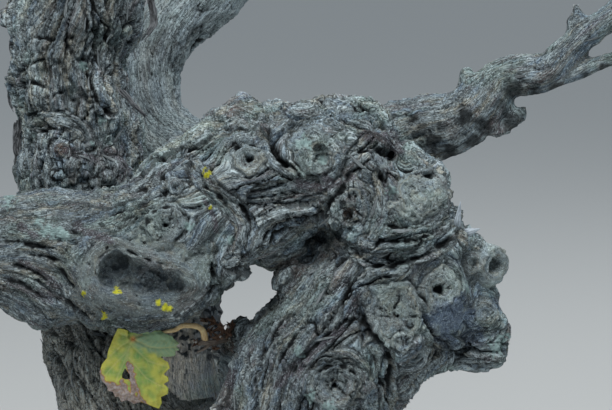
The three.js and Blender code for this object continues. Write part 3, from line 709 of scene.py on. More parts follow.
# Streams that the fibres follow, as they run in the picture: half width in pixels, then places.
STREAMS = [
    (12, (368, 146), (352, 164), (335, 180), (315, 188), (290, 192), (262, 197)),
    (7, (356, 176), (336, 194), (325, 214), (321, 232)),
    (7, (366, 146), (378, 160), (388, 174), (398, 188)),
    (7, (378, 176), (384, 196), (382, 216), (372, 232)),
    (9, (340, 238), (370, 247), (400, 244), (430, 232), (456, 214)),
    (8, (400, 268), (374, 274), (357, 287), (346, 303), (336, 326)),
    (7, (360, 258), (385, 260), (410, 254), (440, 240), (464, 222)),
    (13, (322, 262), (300, 286), (278, 314), (258, 344), (244, 376), (236, 420)),
    (14, (348, 272), (326, 300), (303, 330), (282, 362), (268, 420)),
    (10, (352, 328), (325, 346), (305, 362), (292, 386), (286, 420)),
    (9, (304, 410), (309, 376), (325, 358), (348, 356), (366, 372), (372, 415)),
    (10, (370, 336), (387, 358), (388, 384), (392, 415)),
    (9, (-10, 206), (40, 198), (75, 194), (110, 200), (135, 196), (155, 175), (182, 152)),
    (14, (-10, 254), (32, 254), (60, 266), (76, 292), (96, 326)),
    (13, (-10, 284), (28, 290), (54, 306), (74, 332)),
    (10, (-10, 226), (40, 228), (75, 233), (100, 222), (128, 210), (150, 198), (180, 188)),
    (12, (150, 164), (180, 142), (215, 124), (240, 114), (264, 124)),
    (10, (196, 172), (212, 188), (232, 205), (246, 225), (240, 252)),
    (8, (256, 118), (262, 140), (270, 160), (288, 174)),
    (9, (232, 260), (262, 250), (290, 244), (312, 230)),
    (9, (272, 108), (310, 112), (345, 106), (375, 112), (394, 136)),
    (9, (430, 336), (455, 345), (482, 350), (512, 354)),
    (7, (456, 226), (470, 244), (484, 250), (500, 252)),
    (8, (208, 250), (206, 270), (214, 292), (206, 306)),
    (7, (380, 122), (396, 146), (416, 155), (438, 166), (450, 192)),
    (9, (92, -10), (104, 40), (98, 80), (108, 125)),
    (8, (132, -10), (126, 34), (112, 70), (122, 118), (138, 150)),
    (8, (20, -10), (24, 50), (18, 110), (24, 170)), (8, (34, 120), (62, 118), (84, 128), (90, 142)),
]

# Cracks and folds, as they run in the picture: depth, half width and lip in mm, then places. A positive lip
# lifts the side to the right of the way that they run.
FOLDS = [
    (10, 2.2, 1.5, (267, 120), (269, 137), (275, 152), (285, 166), (298, 168)),
    (3, 1.3, -1, (282, 166), (300, 174), (322, 177), (334, 168)),
    (7, 2.4, 2, (353, 170), (340, 190), (328, 205), (322, 222)),
    (4, 1.3, 1, (370, 150), (378, 165), (383, 180), (387, 194)),
    (5, 2.2, -3, (372, 147), (384, 151), (393, 160), (400, 158)),
    (4, 1.5, 2.5, (384, 126), (396, 147), (418, 156), (436, 166), (448, 186)),
    (2.5, 1.0, 0.5, (410, 172), (420, 173), (428, 178), (438, 175)),
    (8, 2.2, 3.5, (356, 250), (370, 264), (386, 268), (402, 262), (424, 256), (442, 246), (460, 230)),
    (6, 1.9, -3, (362, 270), (352, 281), (343, 296), (340, 315)),
    (9, 3.0, -2, (357, 303), (361, 320), (369, 334), (380, 346)),
    (3, 1.0, 0, (398, 286), (400, 298), (393, 308), (396, 318)),
    (3.5, 1.2, 1, (408, 279), (420, 295), (429, 307)), (2.5, 0.9, 0, (398, 318), (412, 326), (420, 338)),
    (6, 2.0, -2, (424, 310), (431, 330), (440, 342), (457, 343), (478, 352)),
    (8, 2.4, -2, (372, 338), (384, 350), (393, 363), (388, 380), (391, 399)),
    (5, 1.6, 1.5, (311, 384), (317, 371), (328, 365), (345, 366), (357, 376), (358, 394)),
    (3, 0.9, 0, (329, 385), (333, 377), (340, 368)), (2.5, 0.9, 0, (335, 387), (344, 392), (350, 402)),
    (5, 1.5, 1.5, (296, 306), (280, 326), (268, 346), (258, 366), (252, 395)),
    (4, 1.3, 1.5, (314, 316), (296, 338), (283, 358), (272, 386)),
    (5, 1.5, 1.5, (285, 300), (262, 330), (246, 360), (236, 398)),
    (4, 1.3, -1.5, (345, 322), (322, 340), (304, 356), (290, 378), (282, 404)),
    (3, 1.3, 1, (96, 218), (112, 213), (127, 207)),
    (4, 1.5, 1.5, (133, 210), (150, 198), (168, 194), (181, 185)),
    (
        3.5, 1.2, 1, (153, 237), (146, 228), (148, 216), (160, 208), (176, 208), (187, 218), (190, 230),
        (177, 239),
    ),
    (4, 1.6, 1, (0, 243), (17, 241), (33, 245), (56, 249)), (6, 2.0, 1, (70, 229), (82, 235)),
    (4.5, 1.6, 1, (28, 255), (50, 257), (68, 264)), (5, 1.6, -1, (57, 265), (63, 278), (73, 291)),
    (4.5, 1.8, 1.5, (0, 262), (20, 266), (40, 275), (58, 290)),
    (4.5, 1.8, 1.5, (0, 279), (22, 284), (40, 296), (60, 300)),
    (5, 2.0, -2, (60, 292), (67, 304), (80, 314), (100, 324), (132, 331)),
    (6, 1.6, -2, (216, 250), (211, 266), (217, 282)),
    (5, 1.5, 1.5, (228, 201), (242, 205), (249, 218), (251, 234)),
    (4, 1.5, 1, (196, 178), (208, 190), (222, 196), (228, 210)),
    (4, 1.5, -1, (150, 165), (170, 160), (188, 150), (205, 148)),
    (5, 1.8, 1.5, (300, 224), (316, 214), (332, 216)),
    (5, 1.8, 1.5, (262, 246), (270, 232), (284, 226), (298, 228)),
    (3, 1.2, 1, (360, 228), (380, 240), (402, 242), (428, 236), (450, 222)),
    (3, 1.2, 1, (366, 216), (384, 226), (404, 228), (424, 222)),
    (4, 1.4, 0.7, (20, 50), (36, 38), (54, 37), (70, 48), (76, 62)),
    (3, 1.2, 0, (24, 70), (38, 60), (56, 62), (66, 74)), (4, 1.4, -0.7, (14, 92), (34, 82), (50, 88)),
    (3.5, 1.4, 0.7, (44, 100), (62, 92), (80, 106)),
    (3, 1.2, 0, (24, 112), (40, 116), (48, 128), (66, 132)),
    (5, 1.6, 1, (82, 60), (90, 84), (98, 104), (118, 122)), (5, 1.6, 2, (98, 20), (94, 44), (98, 72)),
    (5, 1.6, 2, (108, 10), (106, 40), (112, 66)), (5, 1.6, -2, (122, 30), (116, 56), (112, 78)),
    (4, 1.6, 1, (84, 6), (86, 30), (84, 54)),
    (
        2.5, 1.0, 1.6, (98, 262), (104, 254), (114, 248), (124, 249), (132, 254), (148, 261), (168, 266),
        (184, 276),
    ),
    (1.6, 0.7, 0.4, (108, 240), (106, 247), (107, 254)), (1.4, 0.7, 0, (137, 291), (137, 299), (139, 307)),
    (1.6, 0.8, 0.5, (190, 272), (197, 262), (206, 254)), (1.4, 0.8, 0.4, (86, 262), (93, 268), (98, 277)),
]

# Raised strands: height and half width in mm, then places.
ROPES = [
    (4.5, 4.5, (398, 268), (374, 274), (357, 287), (346, 303), (340, 324)),
    (3, 3.5, (332, 218), (350, 238), (352, 254), (372, 262)),
    (3, 3.5, (346, 236), (366, 246), (392, 250), (420, 246), (446, 232)),
    (3.5, 4, (232, 204), (240, 218), (240, 238), (234, 246)), (3, 3, (388, 196), (394, 214), (410, 222)),
    (3, 4, (60, 196), (90, 190), (118, 198), (142, 188), (160, 172)),
    (3, 4, (302, 384), (308, 366), (326, 356), (350, 357), (366, 370)),
]


def drawn_line(places):
    """A softened line through places of the picture, in steps of 2 pixels, and each step's share of it."""
    places = np.array(places, float)
    s = arc_lengths(places)
    at = np.linspace(0, s[-1], int(s[-1] / 2) + 2)
    line = np.stack([np.interp(at, s, places[:, k]) for k in (0, 1)], 1)
    return soften(line, 6), at / s[-1]


def draw_lines(points, px, py):
    """Height and crack mask of the folds and raised strands at points that show in the picture."""
    height, mask = np.zeros(len(points)), np.zeros(len(points))
    wave = noise(points / 7, 21) * 1.3 + noise(points / 3, 22) * 0.5
    for lines, is_fold in ((FOLDS, True), (ROPES, False)):
        for first, half, *places in lines:
            lip = places.pop(0) if is_fold else 0
            line, share = drawn_line(places)
            spots, way = np.array([seen(*place) for place in line]), np.gradient(line, axis=0)
            low, high = spots.min(0) - 26, spots.max(0) + 26
            near = np.flatnonzero(((points > low) & (points < high)).all(1))
            if not len(near):
                continue
            gaps = distances(points[near], spots)
            index = gaps.argmin(1)
            gap = gaps[np.arange(len(near)), index]
            fade = np.sin(np.pi * np.clip(share[index] * 0.94 + 0.03, 0, 1)) ** 0.45
            side = way[index, 0] * (py[near] - line[index, 1]) - way[index, 1] * (px[near] - line[index, 0])
            offset = np.abs(gap + wave[near] * (1 if is_fold else 1.5))
            if not is_fold:
                height[near] += first * fade * bell(offset, half)
                continue
            groove = bell(offset, half) * fade
            height[near] -= first * groove
            lifted = np.where(side * lip > 0, 1.0, -0.5) * abs(lip)
            height[near] += lifted * fade * np.exp(-gap / 7) * (1 - groove)
            mask[near] = np.maximum(mask[near], groove)
    return height, mask


# Stains and lichens, where they show in the picture. Purple-brown strips are lines with a half width.
STRIPS = [
    (5, (343, 330), (317, 347), (300, 363), (280, 384)), (4, (325, 176), (338, 186), (352, 178)),
    (5, (300, 183), (322, 190), (340, 183)), (8, (368, 134), (384, 139), (396, 149)),
    (5, (66, 150), (80, 156), (94, 160)), (5, (108, 150), (124, 158), (122, 176)),
    (4, (20, 262), (40, 272), (58, 288)), (4, (10, 282), (30, 292), (52, 300)),
    (5, (78, 226), (95, 236), (110, 240)), (3, (205, 200), (214, 215), (216, 232)),
    (4, (232, 372), (226, 395), (224, 412)), (4, (20, 225), (34, 236)),
]
# x, y, radius, and how strong.
BLUE_PATCHES = [
    (455, 318, 24, 1.0), (438, 318, 14, 1.0), (472, 334, 12, 0.9), (446, 334, 12, 0.9), (112, 281, 7, 0.8),
    (462, 302, 10, 0.9), (379, 158, 10, 0.3), (115, 270, 18, 0.4), (155, 281, 24, 0.35),
    (150, 300, 14, 0.35), (497, 305, 7, 0.5), (108, 289, 9, 0.5), (122, 293, 7, 0.4), (96, 282, 6, 0.4),
]
BROWN_SPOTS = [
    (347, 213, 7, 1.0), (318, 148, 4, 0.8), (240, 106, 14, 0.5), (232, 112, 8, 0.6), (48, 72, 8, 0.6),
    (60, 150, 6, 0.7), (152, 262, 12, 0.3), (130, 304, 14, 0.25), (186, 300, 12, 0.35),
    (168, 264, 10, 0.25), (92, 290, 6, 0.4), (300, 268, 5, 0.6), (296, 274, 4, 0.6), (352, 300, 6, 0.4),
    (330, 248, 10, 0.5), (225, 345, 10, 0.7),
]
YELLOW_LICHENS = [
    (208, 175, 5.5), (203, 172, 2.5), (211, 208, 2.5), (116, 291, 4.6), (120, 292, 2), (83, 294, 3),
    (104, 317, 3.4), (159, 303, 4.4), (165, 308, 4.6), (170, 309, 3), (142, 164, 2.5),
]
PALE_LICHENS = [
    (46, 229, 8), (56, 233, 9), (64, 236, 6), (38, 222, 5), (82, 66, 6), (305, 143, 8), (322, 160, 5),
    (497, 345, 9), (502, 338, 6), (230, 240, 5), (10, 196, 8), (92, 143, 4), (188, 226, 6), (392, 192, 7),
    (468, 288, 7), (8, 205, 5), (310, 396, 6), (330, 404, 7), (300, 352, 5), (100, 120, 4),
]


# Places painted darker: painted shade in hollows and under the arch, and darker wood. x, y, radius, and how
# much.
PAINTED_SHADE_AND_DARK_WOOD = [
    (140, 285, 75, 0.36), (50, 250, 70, 0.26), (300, 360, 70, 0.26), (255, 215, 70, 0.12),
    (80, 18, 60, 0.36), (175, 235, 55, 0.08), (118, 265, 16, 0.55), (124, 260, 9, 0.8), (110, 278, 13, 0.5),
    (162, 282, 20, 0.1), (150, 304, 26, 0.2), (330, 245, 22, 0.5), (356, 330, 14, 0.35),
    (455, 350, 14, 0.3), (95, 172, 34, 0.35), (216, 348, 14, 0.5), (108, 60, 22, 0.3), (404, 240, 40, 0.2),
    (398, 296, 40, 0.2),
]


# Dark and brown mottling on the limbs further back: x, y, radius, and how much.
FAR_SHADES = [
    (432, 140, 14, 0.75), (464, 119, 9, 0.8), (448, 150, 12, 0.8), (483, 127, 10, 0.75), (420, 130, 8, 0.6),
    (474, 140, 9, 0.7), (441, 128, 6, 0.6), (516, 90, 11, 0.65), (534, 96, 9, 0.75), (557, 93, 8, 0.7),
    (552, 84, 6, 0.5), (588, 78, 7, 0.7), (604, 68, 6, 0.7), (513, 121, 10, 0.7), (500, 104, 6, 0.5),
    (176, 62, 12, 0.3), (160, 40, 10, 0.2), (190, 80, 10, 0.25), (140, 100, 12, 0.2), (196, 30, 8, 0.25),
]
FAR_BROWN = [
    (543, 76, 9, 0.45), (495, 128, 8, 0.5), (525, 94, 9, 0.6), (452, 132, 9, 0.35), (474, 108, 7, 0.3),
    (166, 50, 14, 0.2), (150, 66, 10, 0.15), (560, 90, 7, 0.5),
]


def patches(px, py, places, edge, low, high, strength=1.0):
    """How strongly round places show, with a ragged edge. Each is x, y, radius and perhaps how much."""
    found = np.zeros(len(px))
    for x, y, reach, *share in places:
        gap = np.hypot(px - x, py - y) / reach + edge
        found = np.maximum(found, strength * (share[0] if share else 1.0) * fall(gap, low, high))
    return found


def stains(points, px, py):
    """How strongly the stains, the painted shade and darker wood, and the lichens show at each point."""
    blotch = noise(points / 9, 41) * 0.8 + noise(points / 3.4, 42) * 0.5
    crust = noise(points / 4.0, 43) * 0.7 + noise(points / 1.9, 44) * 0.7
    purple = np.zeros(len(points))
    for half, *places in STRIPS:
        line, _ = drawn_line(places)
        gap = np.full(len(points), 99.0)
        near = np.flatnonzero((np.hypot(px - line[:, 0].mean(), py - line[:, 1].mean()) < 90))
        gap[near] = np.hypot(px[near, None] - line[None, :, 0], py[near, None] - line[None, :, 1]).min(1)
        purple = np.maximum(purple, fall(gap / half + blotch * 0.6, 0.6, 1.3))
    yield purple
    for places, ragged in ((PAINTED_SHADE_AND_DARK_WOOD, 0.3), (BLUE_PATCHES, 0.5), (BROWN_SPOTS, 0.9)):
        yield patches(px, py, places, blotch * ragged, 0.5, 1.2)
    for places in (YELLOW_LICHENS, PALE_LICHENS):
        yield patches(px, py, places, crust * 0.75, 0.62, 0.8)


def far_stains(points, px, py):
    """How strongly the mottling on the limbs further back shows at each point."""
    blotch = noise(points / 11, 54) * 0.7 + noise(points / 4, 55) * 0.5
    for places in (FAR_SHADES, FAR_BROWN):
        yield patches(px, py, places, blotch * 0.8, 0.5, 1.35, 1.2)


def wrap(angle):
    return (angle + math.pi) % (2 * math.pi) - math.pi


# Places in the picture where the wood is crumbly and its fibres are lost: x, y, radius.
CRUMBLY = [
    (404, 214, 24), (432, 214, 16), (240, 106, 22), (95, 168, 46), (222, 246, 20), (488, 300, 18),
    (325, 236, 24), (225, 130, 14), (402, 348, 16), (380, 222, 16), (150, 279, 22), (206, 318, 26),
]


def follow_streams(points, px, py, flow):
    """Sets the fibres' coordinates along the streams, and gives each point's share of the way to the edge."""
    best = np.full(len(points), 9.0)
    ragged = 1 + 0.28 * noise(points / 16, 34) + 0.1 * noise(points / 5, 35)
    for k, (half, *places) in enumerate(STREAMS):
        line, _ = drawn_line(places)
        low, high = line.min(0) - half * 1.5, line.max(0) + half * 1.5
        near = np.flatnonzero((px > low[0]) & (px < high[0]) & (py > low[1]) & (py < high[1]))
        if not len(near):
            continue
        spot, step = np.stack([px, py], 1)[near].astype(np.float32), line.astype(np.float32)
        gap = np.hypot(spot[:, None, 0] - step[None, :, 0], spot[:, None, 1] - step[None, :, 1])
        index = gap.argmin(1)
        gap = gap[np.arange(len(near)), index]
        ratio = gap / half * ragged[near]
        taken = (ratio < 1) & (ratio < best[near])
        best[near] = np.where(ratio < best[near], ratio, best[near])
        way = np.gradient(line, axis=0)[index]
        pace = np.hypot(way[:, 0], way[:, 1])
        way = way / pace[:, None]
        dx, dy = px[near] - line[index, 0], py[near] - line[index, 1]
        run = index * pace.mean() + np.clip(dx * way[:, 0] + dy * way[:, 1], -2, 2)
        side = (way[:, 0] * dy - way[:, 1] * dx) * PIXEL
        new = np.stack([run * PIXEL + 700 * k, side + 40 * k, points[near] @ LOOK], 1)
        flow[near[taken]] = new[taken]
    return best


# How the bark differs from limb to limb: twist of its fibres, shift of its pattern, how calm it is at the
# picture's left, and how strong the broad and the coarse relief are. A knot is large from LARGE_KNOT mm on.
LOOKS = {
    "front": (0.0022, 0, 0.5, 1.0, 1.0), "left_limb": (-0.003, 4000, 0.0, 1.0, 1.4),
    "trunk": (0.0023, 8000, 0.1, 0.35, 1.0),
}
OTHER_LOOKS = 0.004, 12000, 0.1, 1.0, 1.0
LARGE_KNOT = 40


def bark(limb, points, u, angle, radius, px, py, front):
    """Height of the bark over the smooth surface, its masks, and the coordinates that its fibres follow."""
    n = len(points)
    twist, shift, calm, broad, coarse = LOOKS.get(limb.name, OTHER_LOOKS)
    height, callus, pit, split_face, shift_u, shift_v, ring_x, ring_y = np.zeros((8, n))
    inside = np.full(n, -1)
    ragged = 0.13 * noise(points / 14, 31) + 0.07 * noise(points / 5, 32)
    for k, (centre, u0, angle0, size, rim, hole, soft, squat) in enumerate(knots[limb.name]):
        gap = np.linalg.norm((points - centre) * [1, squat, squat], axis=1)
        near = np.flatnonzero(gap < size * 3)
        d = np.maximum(gap[near], 0.1)
        way = np.arctan2(radius[near] * wrap(angle[near] - angle0), u[near] - u0)
        pull = size**2 / np.maximum(d, size) * fall(d / size, 1.3, 2.9)
        shift_u[near] += pull * np.cos(way)
        shift_v[near] -= pull * np.sin(way)
        share = d / size * (1 + 0.10 * np.sin(2 * way + k) + ragged[near] * 1.6)
        inner = share < 1
        inside[near[inner]] = k
        ring_x[near[inner]] = way[inner] * size
        ring_y[near[inner]] = (share * size)[inner] * 1.5 + 300 * k
        bump = rim * bell(share - 0.74, 0.22) - 1.2 * rim * bell(share, 0.42)
        crease = -2.2 * bell(share - 1.02, 0.05) * (size < LARGE_KNOT)
        height[near] += bump + crease
        spokes = np.stack([2.3 * np.cos(way), 2.3 * np.sin(way), share * 0.5 + 7 * k], 1)
        spoke = fall(np.abs(noise(spokes, 33)), 0.0, 0.05 / np.maximum(share, 0.3))
        spoke *= smoothstep(share, 0.12, 0.3) * fall(share, 0.8, 1.05) * (size < LARGE_KNOT)
        split_face[near] = np.maximum(split_face[near], spoke)
        if hole:
            reach = d * (1 + 0.15 * np.sin(3 * way + k) + ragged[near])
            mouth = fall(reach, hole * 0.8, hole * 1.3)
            height[near] -= 8 * mouth
            pit[near] = np.maximum(pit[near], mouth)
        callus[near] = np.maximum(callus[near], soft * fall(share, 0.9, 1.2))
    v = angle + shift_v / np.maximum(radius, 8) + twist * u
    flow = np.stack([u + shift_u, radius * np.cos(v), radius * np.sin(v)], 1)
    crumbly = patches(px, py, CRUMBLY, ragged, 0.5, 1.1) * front
    if limb is FRONT:
        for k, (x, y, low, high, start, end) in enumerate(ARCS):
            turn = np.degrees(np.arctan2(py - y, px - x)) % 360
            gap = np.hypot(px - x, py - y)
            zone = (gap > low) & (gap < high) & (turn > start) & (turn < end) & (points[:, 1] < NEAR_SIDE)
            mean = (low + high) / 2 * PIXEL
            flow[zone] = np.stack([np.radians(turn) * mean + 900 * k, gap * PIXEL, points[:, 1]], 1)[zone]
    edge = np.full(n, 9.0)
    if limb.name in ("front", "left_limb"):
        chosen = np.flatnonzero(front)
        part = flow[chosen]
        edge[chosen] = follow_streams(points[chosen], px[chosen], py[chosen], part)
        flow[chosen] = part
    held = inside >= 0
    flow[held] = np.stack([ring_x[held], ring_y[held], 0 * ring_x[held]], 1)
    if limb is FRONT:
        rim_gap = SCAR_SHAPE.at(px, py) * (1 + 0.18 * noise(points / 22, 37))
        collar = front & (points[:, 1] < NEAR_SIDE) & (rim_gap < SCAR_COLLAR) & (rim_gap > -1.5)
        turn = np.arctan2((py - SCAR_MIDDLE[1]) * 1.7, px - SCAR_MIDDLE[0])
        flow[collar] = np.stack([turn * 48, rim_gap * PIXEL * 1.3 + 600, 0.3 * points[:, 1]], 1)[collar]
        callus[collar] = np.maximum(callus[collar], 0.85)
    flow[:, 0] += shift

    scale = lambda a, b: flow / [a, b, b]
    bend, bend2 = noise(scale(80, 34), 1), noise(scale(80, 34), 2)
    small, small2 = noise(scale(30, 11), 3), noise(scale(30, 11), 17)
    warped = flow + np.stack([6 * small2, 11 * bend + 2.2 * small, 11 * bend2 - 2.2 * small], 1)
    at = lambda a, b, seed: noise(warped / [a, b, b], seed)
    cell = noise(points / 5.2, 18)
    plate = np.abs(at(84, 12.5, 5) + 0.07 * cell)
    strand = np.abs(at(50, 5.8, 6) + 0.09 * cell)
    fibre = np.abs(at(34, 3.0, 7))
    block = np.abs(noise(warped / [12, 28, 28] + 0.4 * small[:, None], 8))
    shaggy = smoothstep(noise(scale(60, 40), 9), -0.35, 0.25)
    level, level2 = at(74, 15, 12) * 2.6, at(36, 7.2, 16) * 2.3
    saw, saw2 = level - np.floor(level), level2 - np.floor(level2)
    lump = noise(points / 24, 10)
    crumb = noise(points / 8.5, 11)
    grit = noise(points / 3.6, 19)
    split = fall(plate, 0.01, 0.11)
    seams = fall(strand, 0.01, 0.15)
    cross = fall(block, 0.0, 0.08) * smoothstep(noise(scale(45, 30), 13), -0.15, 0.3)
    calm = calm * fall(px, 70, 150)
    firm = (1 - callus) * (1 - 0.55 * crumbly) * 0.85 * (1 - calm)
    height += lump * 4.0 * (0.3 + 0.7 * firm) * broad
    height += at(150, 27, 4) * 5.0 * firm * broad
    rough = firm * (0.5 + 0.5 * shaggy) * coarse
    height += rough * (2.4 * smoothstep(plate, 0.0, 0.45) - 4.4 * split)
    height += rough * (1.0 * smoothstep(strand, 0.0, 0.4) - 1.7 * seams)
    height += firm * (2.3 * (saw - 0.5) * shaggy + 1.3 * (saw2 - 0.5))
    height += (0.25 + 0.75 * firm) * 1.25 * (smoothstep(fibre, 0.0, 0.3) - 0.6)
    height -= firm * 1.1 * cross
    height += (0.15 + 0.25 * firm + 1.5 * crumbly) * (0.9 * crumb + 0.5 * grit)
    height -= crumbly * 1.7 * fall(np.abs(cell), 0.0, 0.13)
    between = bell(edge - 1, 0.1) * smoothstep(noise(points / 30, 36), -0.2, 0.3) * (inside < 0)
    height -= 1.8 * between * firm
    rings = np.abs(noise(warped / [34, 4.4, 4.4], 14))
    height -= callus * 1.1 * fall(rings, 0.0, 0.12) + 1.9 * split_face
    # Cracks, the feet of the steps, pits and holes are painted near black: partly the bark's own dark, partly
    # painted shade.
    steps = 0.6 * shaggy * fall(saw, 0.0, 0.12), 0.4 * fall(saw2, 0.0, 0.12)
    crack = np.max([split * (0.5 + 0.5 * shaggy), 0.55 * seams, 0.5 * cross, *steps], 0)
    crumbs = crumbly * 0.55 * fall(np.abs(cell), 0.0, 0.11)
    crack *= np.minimum(firm * 1.2, 1)
    crack = np.max([crack, crumbs, 0.6 * between * firm, pit, 0.8 * split_face], 0)
    # How high the bark stands in its relief. The material paints the ridges lighter and the furrows darker:
    # partly the bark's own colour, partly painted highlight and painted shade.
    crest = 0.5 + 0.28 * (saw - 0.5) + 0.22 * (saw2 - 0.5) + 0.35 * (smoothstep(plate, 0, 0.5) - 0.5)
    crest += 0.22 * (smoothstep(strand, 0, 0.4) - 0.5) + 0.2 * crumb * (0.2 + crumbly) + 0.06 * grit
    crest = 0.5 + (crest - 0.5) * (0.35 + 0.65 * firm)
    if limb is FRONT:
        # The scar's sunken floor is painted darker and grainy: painted shade in the hollow, over its rough
        # grain.
        sunk = fall(SCAR_SHAPE.at(px, py), -3, 0.5)
        sunk *= points[:, 1] < NEAR_SIDE
        grains = noise(points / 2.1, 56)
        crest -= sunk * (0.05 + 0.55 * grit + 0.4 * crumb + 0.5 * grains)
        height += sunk * (1.1 * grit + 0.8 * grains)
        crack = np.maximum(crack, sunk * 0.45 * smoothstep(grit + 0.6 * grains, 0.25, 0.6))
    tone = 0.5 + 0.5 * at(48, 9, 15)
    crack = crack * np.clip(radius / 34, 0.35, 1)
    return height, crack, callus, tone, crest, flow


outs = {}
for name, limb in LIMBS.items():
    reach = limb.radius.max() + 40
    low, high = limb.centre.min(0) - reach, limb.centre.max(0) + reach
    near = np.flatnonzero(((points > low) & (points < high)).all(1))
    outs[name] = (near, *limb.nearest(points[near]))
best = np.full(len(points), 1e9)
for near, out, *_ in outs.values():
    best[near] = np.minimum(best[near], out)
owner = np.full(len(points), -1)
past_tip, place, total, height, crack, callus, tone, crest = np.zeros((8, len(points)))
flow = np.zeros((len(points), 3))
top = np.full(len(points), -1.0)
normals = unit(field.slope(points))
px, py = shown_at(points)
shown = ((normals * unit(EYE - points)).sum(1) > FACING) & in_picture(points, DRAWN_MARGIN)
front = shown & (points[:, 1] < DRAWN_UP_TO)
for index, (name, (near, out, u, angle, radius, spot)) in enumerate(outs.items()):
    weight = fall(out - best[near], 0, 9)
    use = weight > 0
    near, weight, u, angle, radius, spot = (a[use] for a in (near, weight, u, angle, radius, spot))
    thin = np.clip(radius / 45, 0.18, 1)
    h, c, s, t, r, f = bark(LIMBS[name], points[near], u, angle, radius, px[near], py[near], front[near])
    total[near] += weight
    height[near] += weight * h * thin
    crack[near] += weight * c
    callus[near] += weight * s
    tone[near] += weight * t
    crest[near] += weight * r
    lead = weight > top[near]
    owner[near[lead]] = index
    past_tip[near[lead]] = u[lead] - LIMBS[name].along[-1]
    place[near[lead]] = spot[lead]
    flow[near[lead]] = f[lead]
    top[near[lead]] = weight[lead]
total = np.maximum(total, 1e-6)
height, crack, callus, tone, crest = (a / total for a in (height, crack, callus, tone, crest))
for end, way, reach in ringed_ends:
    gap = points - end
    across = np.linalg.norm(gap - (gap @ way)[:, None] * way, axis=1)
    calm = fall(across / reach, 1.05, 1.4) * fall(np.abs(gap @ way) / reach, 0.9, 1.3)
    height = height * (1 - 0.6 * calm) - 1.0 * calm * bell(across / reach - 0.82, 0.06)
    callus, crack = np.maximum(callus, 0.8 * calm), crack * (1 - calm)
    held = calm > 0.5
    turn = np.arctan2((gap @ RISE), gap @ np.cross(way, RISE))
    flow[held] = np.stack([turn * reach * 3, across * 2.5, 0 * across], 1)[held] + 90
    crest += calm * 0.25 * smoothstep(across / reach, 0.5, 0.9)


def owned_by(*names):
    return np.isin(owner, [NAMES.index(name) for name in names])


drawn, drawn_crack = draw_lines(points, px, py)
height += np.where(front, drawn, 0)
purple, painted_shade_and_dark_wood, blue, brown, yellow, pale = (np.where(front, a, 0) for a in stains(points, px, py))
far = shown & owned_by("right_arm", "right_cane", "back_arm")
far_shade, far_brown = far_stains(points, px, py)
painted_shade_and_dark_wood, brown = np.where(far, far_shade, painted_shade_and_dark_wood), np.where(far, far_brown, brown)
height = (height - 0.9) * (1 - 0.55 * purple) + 0.7 * yellow + 0.4 * pale
crack = np.maximum(crack, np.where(front, drawn_crack, 0))
# Burl knobs: a dark ring is painted round each, painted shade in the gaps between them, and the knobs are
# painted a little lighter.
burl = np.zeros(len(points))
on_left = front & owned_by("left_limb")
for x, y, reach in KNOBS:
    gap = np.hypot(px - x, py - y) / reach * (1 + 0.32 * noise(points / 7, 52))
    crack = np.where(on_left, np.maximum(crack, 0.85 * bell(gap - 1.12, 0.15)), crack)
    burl = np.maximum(burl, fall(gap, 0.7, 1.15) * on_left)
height, crack, crest = height * (1 - 0.65 * burl), crack * (1 - 0.8 * burl), crest + 0.15 * burl
purple = np.maximum(purple, 0.45 * burl * smoothstep(noise(points / 14, 53), -0.3, 0.3))
ground = smoothstep(points[:, 2], 0.5, 9)
dead = owned_by("dead_stub")
rotten = dead * smoothstep(points[:, 2] + 6 * noise(points / 9, 45), ROTTEN_FROM, ROTTEN_FROM + 12)
height = np.where(dead, height * (0.22 + 1.1 * rotten) + rotten * 3 * noise(points / 6, 46), height)
brown = np.maximum(brown, 0.45 * rotten)
crack = np.maximum(crack, rotten * smoothstep(noise(points / 4, 47), -0.1, 0.4))
moved = points + normals * (height * ground)[:, None]
moved[:, 2] = np.where(points[:, 2] < 0.6, 0.0, np.maximum(moved[:, 2], 0))
middles = first_middle + seam
moved[middles] = moved[pairs[seam]].mean(1)


def mesh_piece(name, points, faces, attributes):
    """A mesh object in metres from points in millimetres, with its own numbers for each point."""
    used, index = np.unique(faces, return_inverse=True)
    index = index.reshape(faces.shape)
    mesh = bpy.data.meshes.new(name)
    mesh.vertices.add(len(used))
    mesh.vertices.foreach_set("co", (points[used] * 0.001).astype(np.float32).ravel())
    width = faces.shape[1]
    mesh.loops.add(index.size)
    mesh.loops.foreach_set("vertex_index", index.astype(np.int32).ravel())
    mesh.polygons.add(len(faces))
    mesh.polygons.foreach_set("loop_start", np.arange(0, index.size, width, dtype=np.int32))
    mesh.polygons.foreach_set("loop_total", np.full(len(faces), width, np.int32))
    mesh.update(calc_edges=True)
    mesh.polygons.foreach_set("use_smooth", np.full(len(faces), True))
    for key, values in attributes.items():
        kind, field_name = ("FLOAT", "value") if values.ndim == 1 else ("FLOAT_VECTOR", "vector")
        layer = mesh.attributes.new(key, kind, "POINT")
        layer.data.foreach_set(field_name, values[used].astype(np.float32).ravel())
    return put(name, mesh)


def put(name, data):
    """A new object in the scene."""
    made = bpy.data.objects.new(name, data)
    bpy.context.scene.collection.objects.link(made)
    return made


def show(piece, material, slot, node):
    """Gives a piece its material, hangs it under the root and hides the solid of the node that it dresses."""
    piece.data.materials.append(material)
    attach(piece, "root")
    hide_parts(node)


